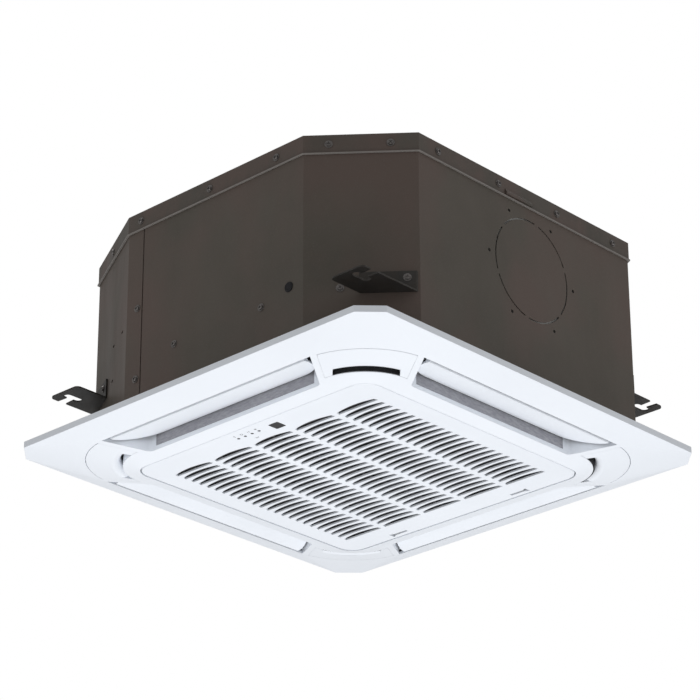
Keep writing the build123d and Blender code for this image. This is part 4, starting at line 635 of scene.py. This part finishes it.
deselect()
bpy.ops.mesh.primitive_grid_add(x_subdivisions=1, y_subdivisions=44, size=2.0, location=(0.0, 0.0, 0.0))
rib = bpy.context.object
rib.name = "middleRib"
bpy.ops.object.mode_set(mode="EDIT")
bpy.ops.mesh.select_all(action="SELECT")
bpy.ops.mesh.extrude_region_move(TRANSFORM_OT_translate={"value": (0.0, 0.0, 1.0)})
bpy.ops.object.mode_set(mode="OBJECT")
for vertex in rib.data.vertices:
    y = vertex.co.y * middleRib["reach"]
    rise = vertex.co.z * middleRib["wall"]
    if vertex.co.x < 0:
        x = max(middleRib["straight"], -bowAt(y))
    else:
        x = min(middleRib["bow"], middleRib["nextSlot"] - max(bowAt(y), 0.0) - middleRib["lean"] * rise)
    vertex.co = (x, y, middleRib["low"] + rise)
turnOut(rib)
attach(rib, "grille")
finishWith(rib, finishes["grille_white"])
print("middle rib modelled")

# small printed marks over the lamps: a bar, a ring, a pair of strokes and a cross, and one lower mark
marks = {
    "x": -0.1962, "bar": 0.0322, "ring": 0.0202, "pair": 0.0078, "cross": -0.0046,
    "lower": (-0.1766, 0.0121), "lowerGap": 0.0016, "z": -0.10053,
    "reach": 0.0021, "stroke": 0.0006, "pairTilt": 0.35,
}
printed = []


# a stroke's length is given in reaches
def stroke(x, y, long, turn):
    bpy.ops.mesh.primitive_plane_add(size=1.0, location=(x, y, marks["z"]), rotation=(math.pi, 0.0, turn))
    bpy.context.object.scale = (long * marks["reach"], marks["stroke"], 1.0)
    applyPlace()
    printed.append(bpy.context.object)


def ring(x, y):
    bpy.ops.mesh.primitive_circle_add(
        vertices=24, radius=marks["reach"], fill_type="NGON", location=(x, y, marks["z"]))
    bpy.ops.object.mode_set(mode="EDIT")
    bpy.ops.mesh.select_all(action="SELECT")
    bpy.ops.mesh.inset(thickness=marks["stroke"])
    bpy.ops.mesh.delete(type="FACE")
    bpy.ops.object.mode_set(mode="OBJECT")
    turnOut(bpy.context.object)
    applyPlace()
    printed.append(bpy.context.object)


deselect()
stroke(marks["x"], marks["bar"], 2.0, 0.0)
stroke(marks["x"] - marks["reach"], marks["bar"], 1.3, math.pi / 2)
ring(marks["x"], marks["ring"])
for side in (-0.6, 0.6):
    stroke(marks["x"], marks["pair"] + side * marks["reach"], 2.0, marks["pairTilt"])
for turn in (0.0, math.pi / 3, -math.pi / 3):
    stroke(marks["x"], marks["cross"], 2.0, turn)
lowerX, lowerY = marks["lower"]
stroke(lowerX, lowerY, 3.4, math.pi / 2)
stroke(lowerX + marks["lowerGap"], lowerY, 2.2, math.pi / 2)
lampMarks = joined(printed, "lampMarks")
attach(lampMarks, "grille")
finishWith(lampMarks, finishes["lamp_lens"])
print("lamp marks modelled,", len(printed))

# the unit hangs over a pale floor, which is seen through from below
room = {
    "floorHeight": -2.35, "floorHalf": 14.0, "patchScale": 1.2, "rough": 0.9,
    "dark": (0.86, 0.86, 0.86), "pale": (0.88, 0.88, 0.88),
}
deselect()
bpy.ops.mesh.primitive_plane_add(size=2 * room["floorHalf"], location=(0.0, 0.0, room["floorHeight"]))
floor = bpy.context.object
floor.name = "floor"
applyPlace()
floorPaint, tree, shader, place = newMaterial("floorPaint")
tone = twoTones(tree, noise(tree, place, room["patchScale"]), room)
tree.links.new(tone, shader.inputs["Base Color"])
shader.inputs["Roughness"].default_value = room["rough"]
clear = tree.nodes.new("ShaderNodeBsdfTransparent")
side = tree.nodes.new("ShaderNodeNewGeometry")
choice = tree.nodes.new("ShaderNodeMixShader")
tree.links.new(side.outputs["Backfacing"], choice.inputs["Fac"])
tree.links.new(shader.outputs["BSDF"], choice.inputs[1])
tree.links.new(clear.outputs["BSDF"], choice.inputs[2])
output = [node for node in tree.nodes if node.type == "OUTPUT_MATERIAL"][0]
tree.links.new(choice.outputs["Shader"], output.inputs["Surface"])
floor.data.materials.append(floorPaint)

# plain white to the eye, softer as light
sky = {"colour": (1.0, 1.0, 1.0, 1.0), "seen": 1.0, "light": 0.36}
world = bpy.data.worlds.new("studio")
bpy.context.scene.world = world
world.use_nodes = True
tree = world.node_tree
tree.nodes.clear()
output = tree.nodes.new("ShaderNodeOutputWorld")
background = tree.nodes.new("ShaderNodeBackground")
background.inputs["Color"].default_value = sky["colour"]
rays = tree.nodes.new("ShaderNodeLightPath")
brightness = spread(tree, rays.outputs["Is Camera Ray"], 0.0, 1.0, sky["light"], sky["seen"])
tree.links.new(brightness, background.inputs["Strength"])
tree.links.new(background.outputs["Background"], output.inputs["Surface"])
print("floor and sky set")

# square soft lamps, all aimed at the casing
lampTarget = Vector((0.0, 0.0, 0.02))
lamps = {
    "fromBelow": {"place": (-0.1, -0.1, -2.2), "size": 2.4, "power": 38.0},
    "leftSide": {"place": (-3.2, 1.0, -0.5), "size": 1.8, "power": 12.0},
    "rightSide": {"place": (1.4, -3.2, -0.4), "size": 1.8, "power": 17.0},
    "overhead": {"place": (0.8, 0.8, 2.8), "size": 2.2, "power": 100.0},
}
for name, values in lamps.items():
    lamp = bpy.data.objects.new(name, bpy.data.lights.new(name, "AREA"))
    lamp.data.shape = "SQUARE"
    lamp.data.size = values["size"]
    lamp.data.energy = values["power"]
    lamp.visible_camera = False
    lamp.location = values["place"]
    lamp.rotation_euler = (lampTarget - Vector(values["place"])).to_track_quat("-Z", "Y").to_euler()
    bpy.context.scene.collection.objects.link(lamp)
print("lamps set,", len(lamps))

view = {
    "place": (-2.5265, -2.3600, -1.5306), "forward": (0.6607, 0.6209, 0.4218),
    "up": (-0.3044, -0.2921, 0.9067), "lens": 146.31, "sensor": 36.0,
}
camera = bpy.data.objects.new("camera", bpy.data.cameras.new("camera"))
camera.data.sensor_width = view["sensor"]
camera.data.lens = view["lens"]
back = -Vector(view["forward"]).normalized()
right = Vector(view["up"]).cross(back).normalized()
upward = back.cross(right)
aim = Matrix((right, upward, back)).transposed().to_4x4()
camera.matrix_world = Matrix.Translation(view["place"]) @ aim
bpy.context.scene.collection.objects.link(camera)
bpy.context.scene.camera = camera
bpy.context.scene.view_settings.view_transform = "Standard"
print("camera set")
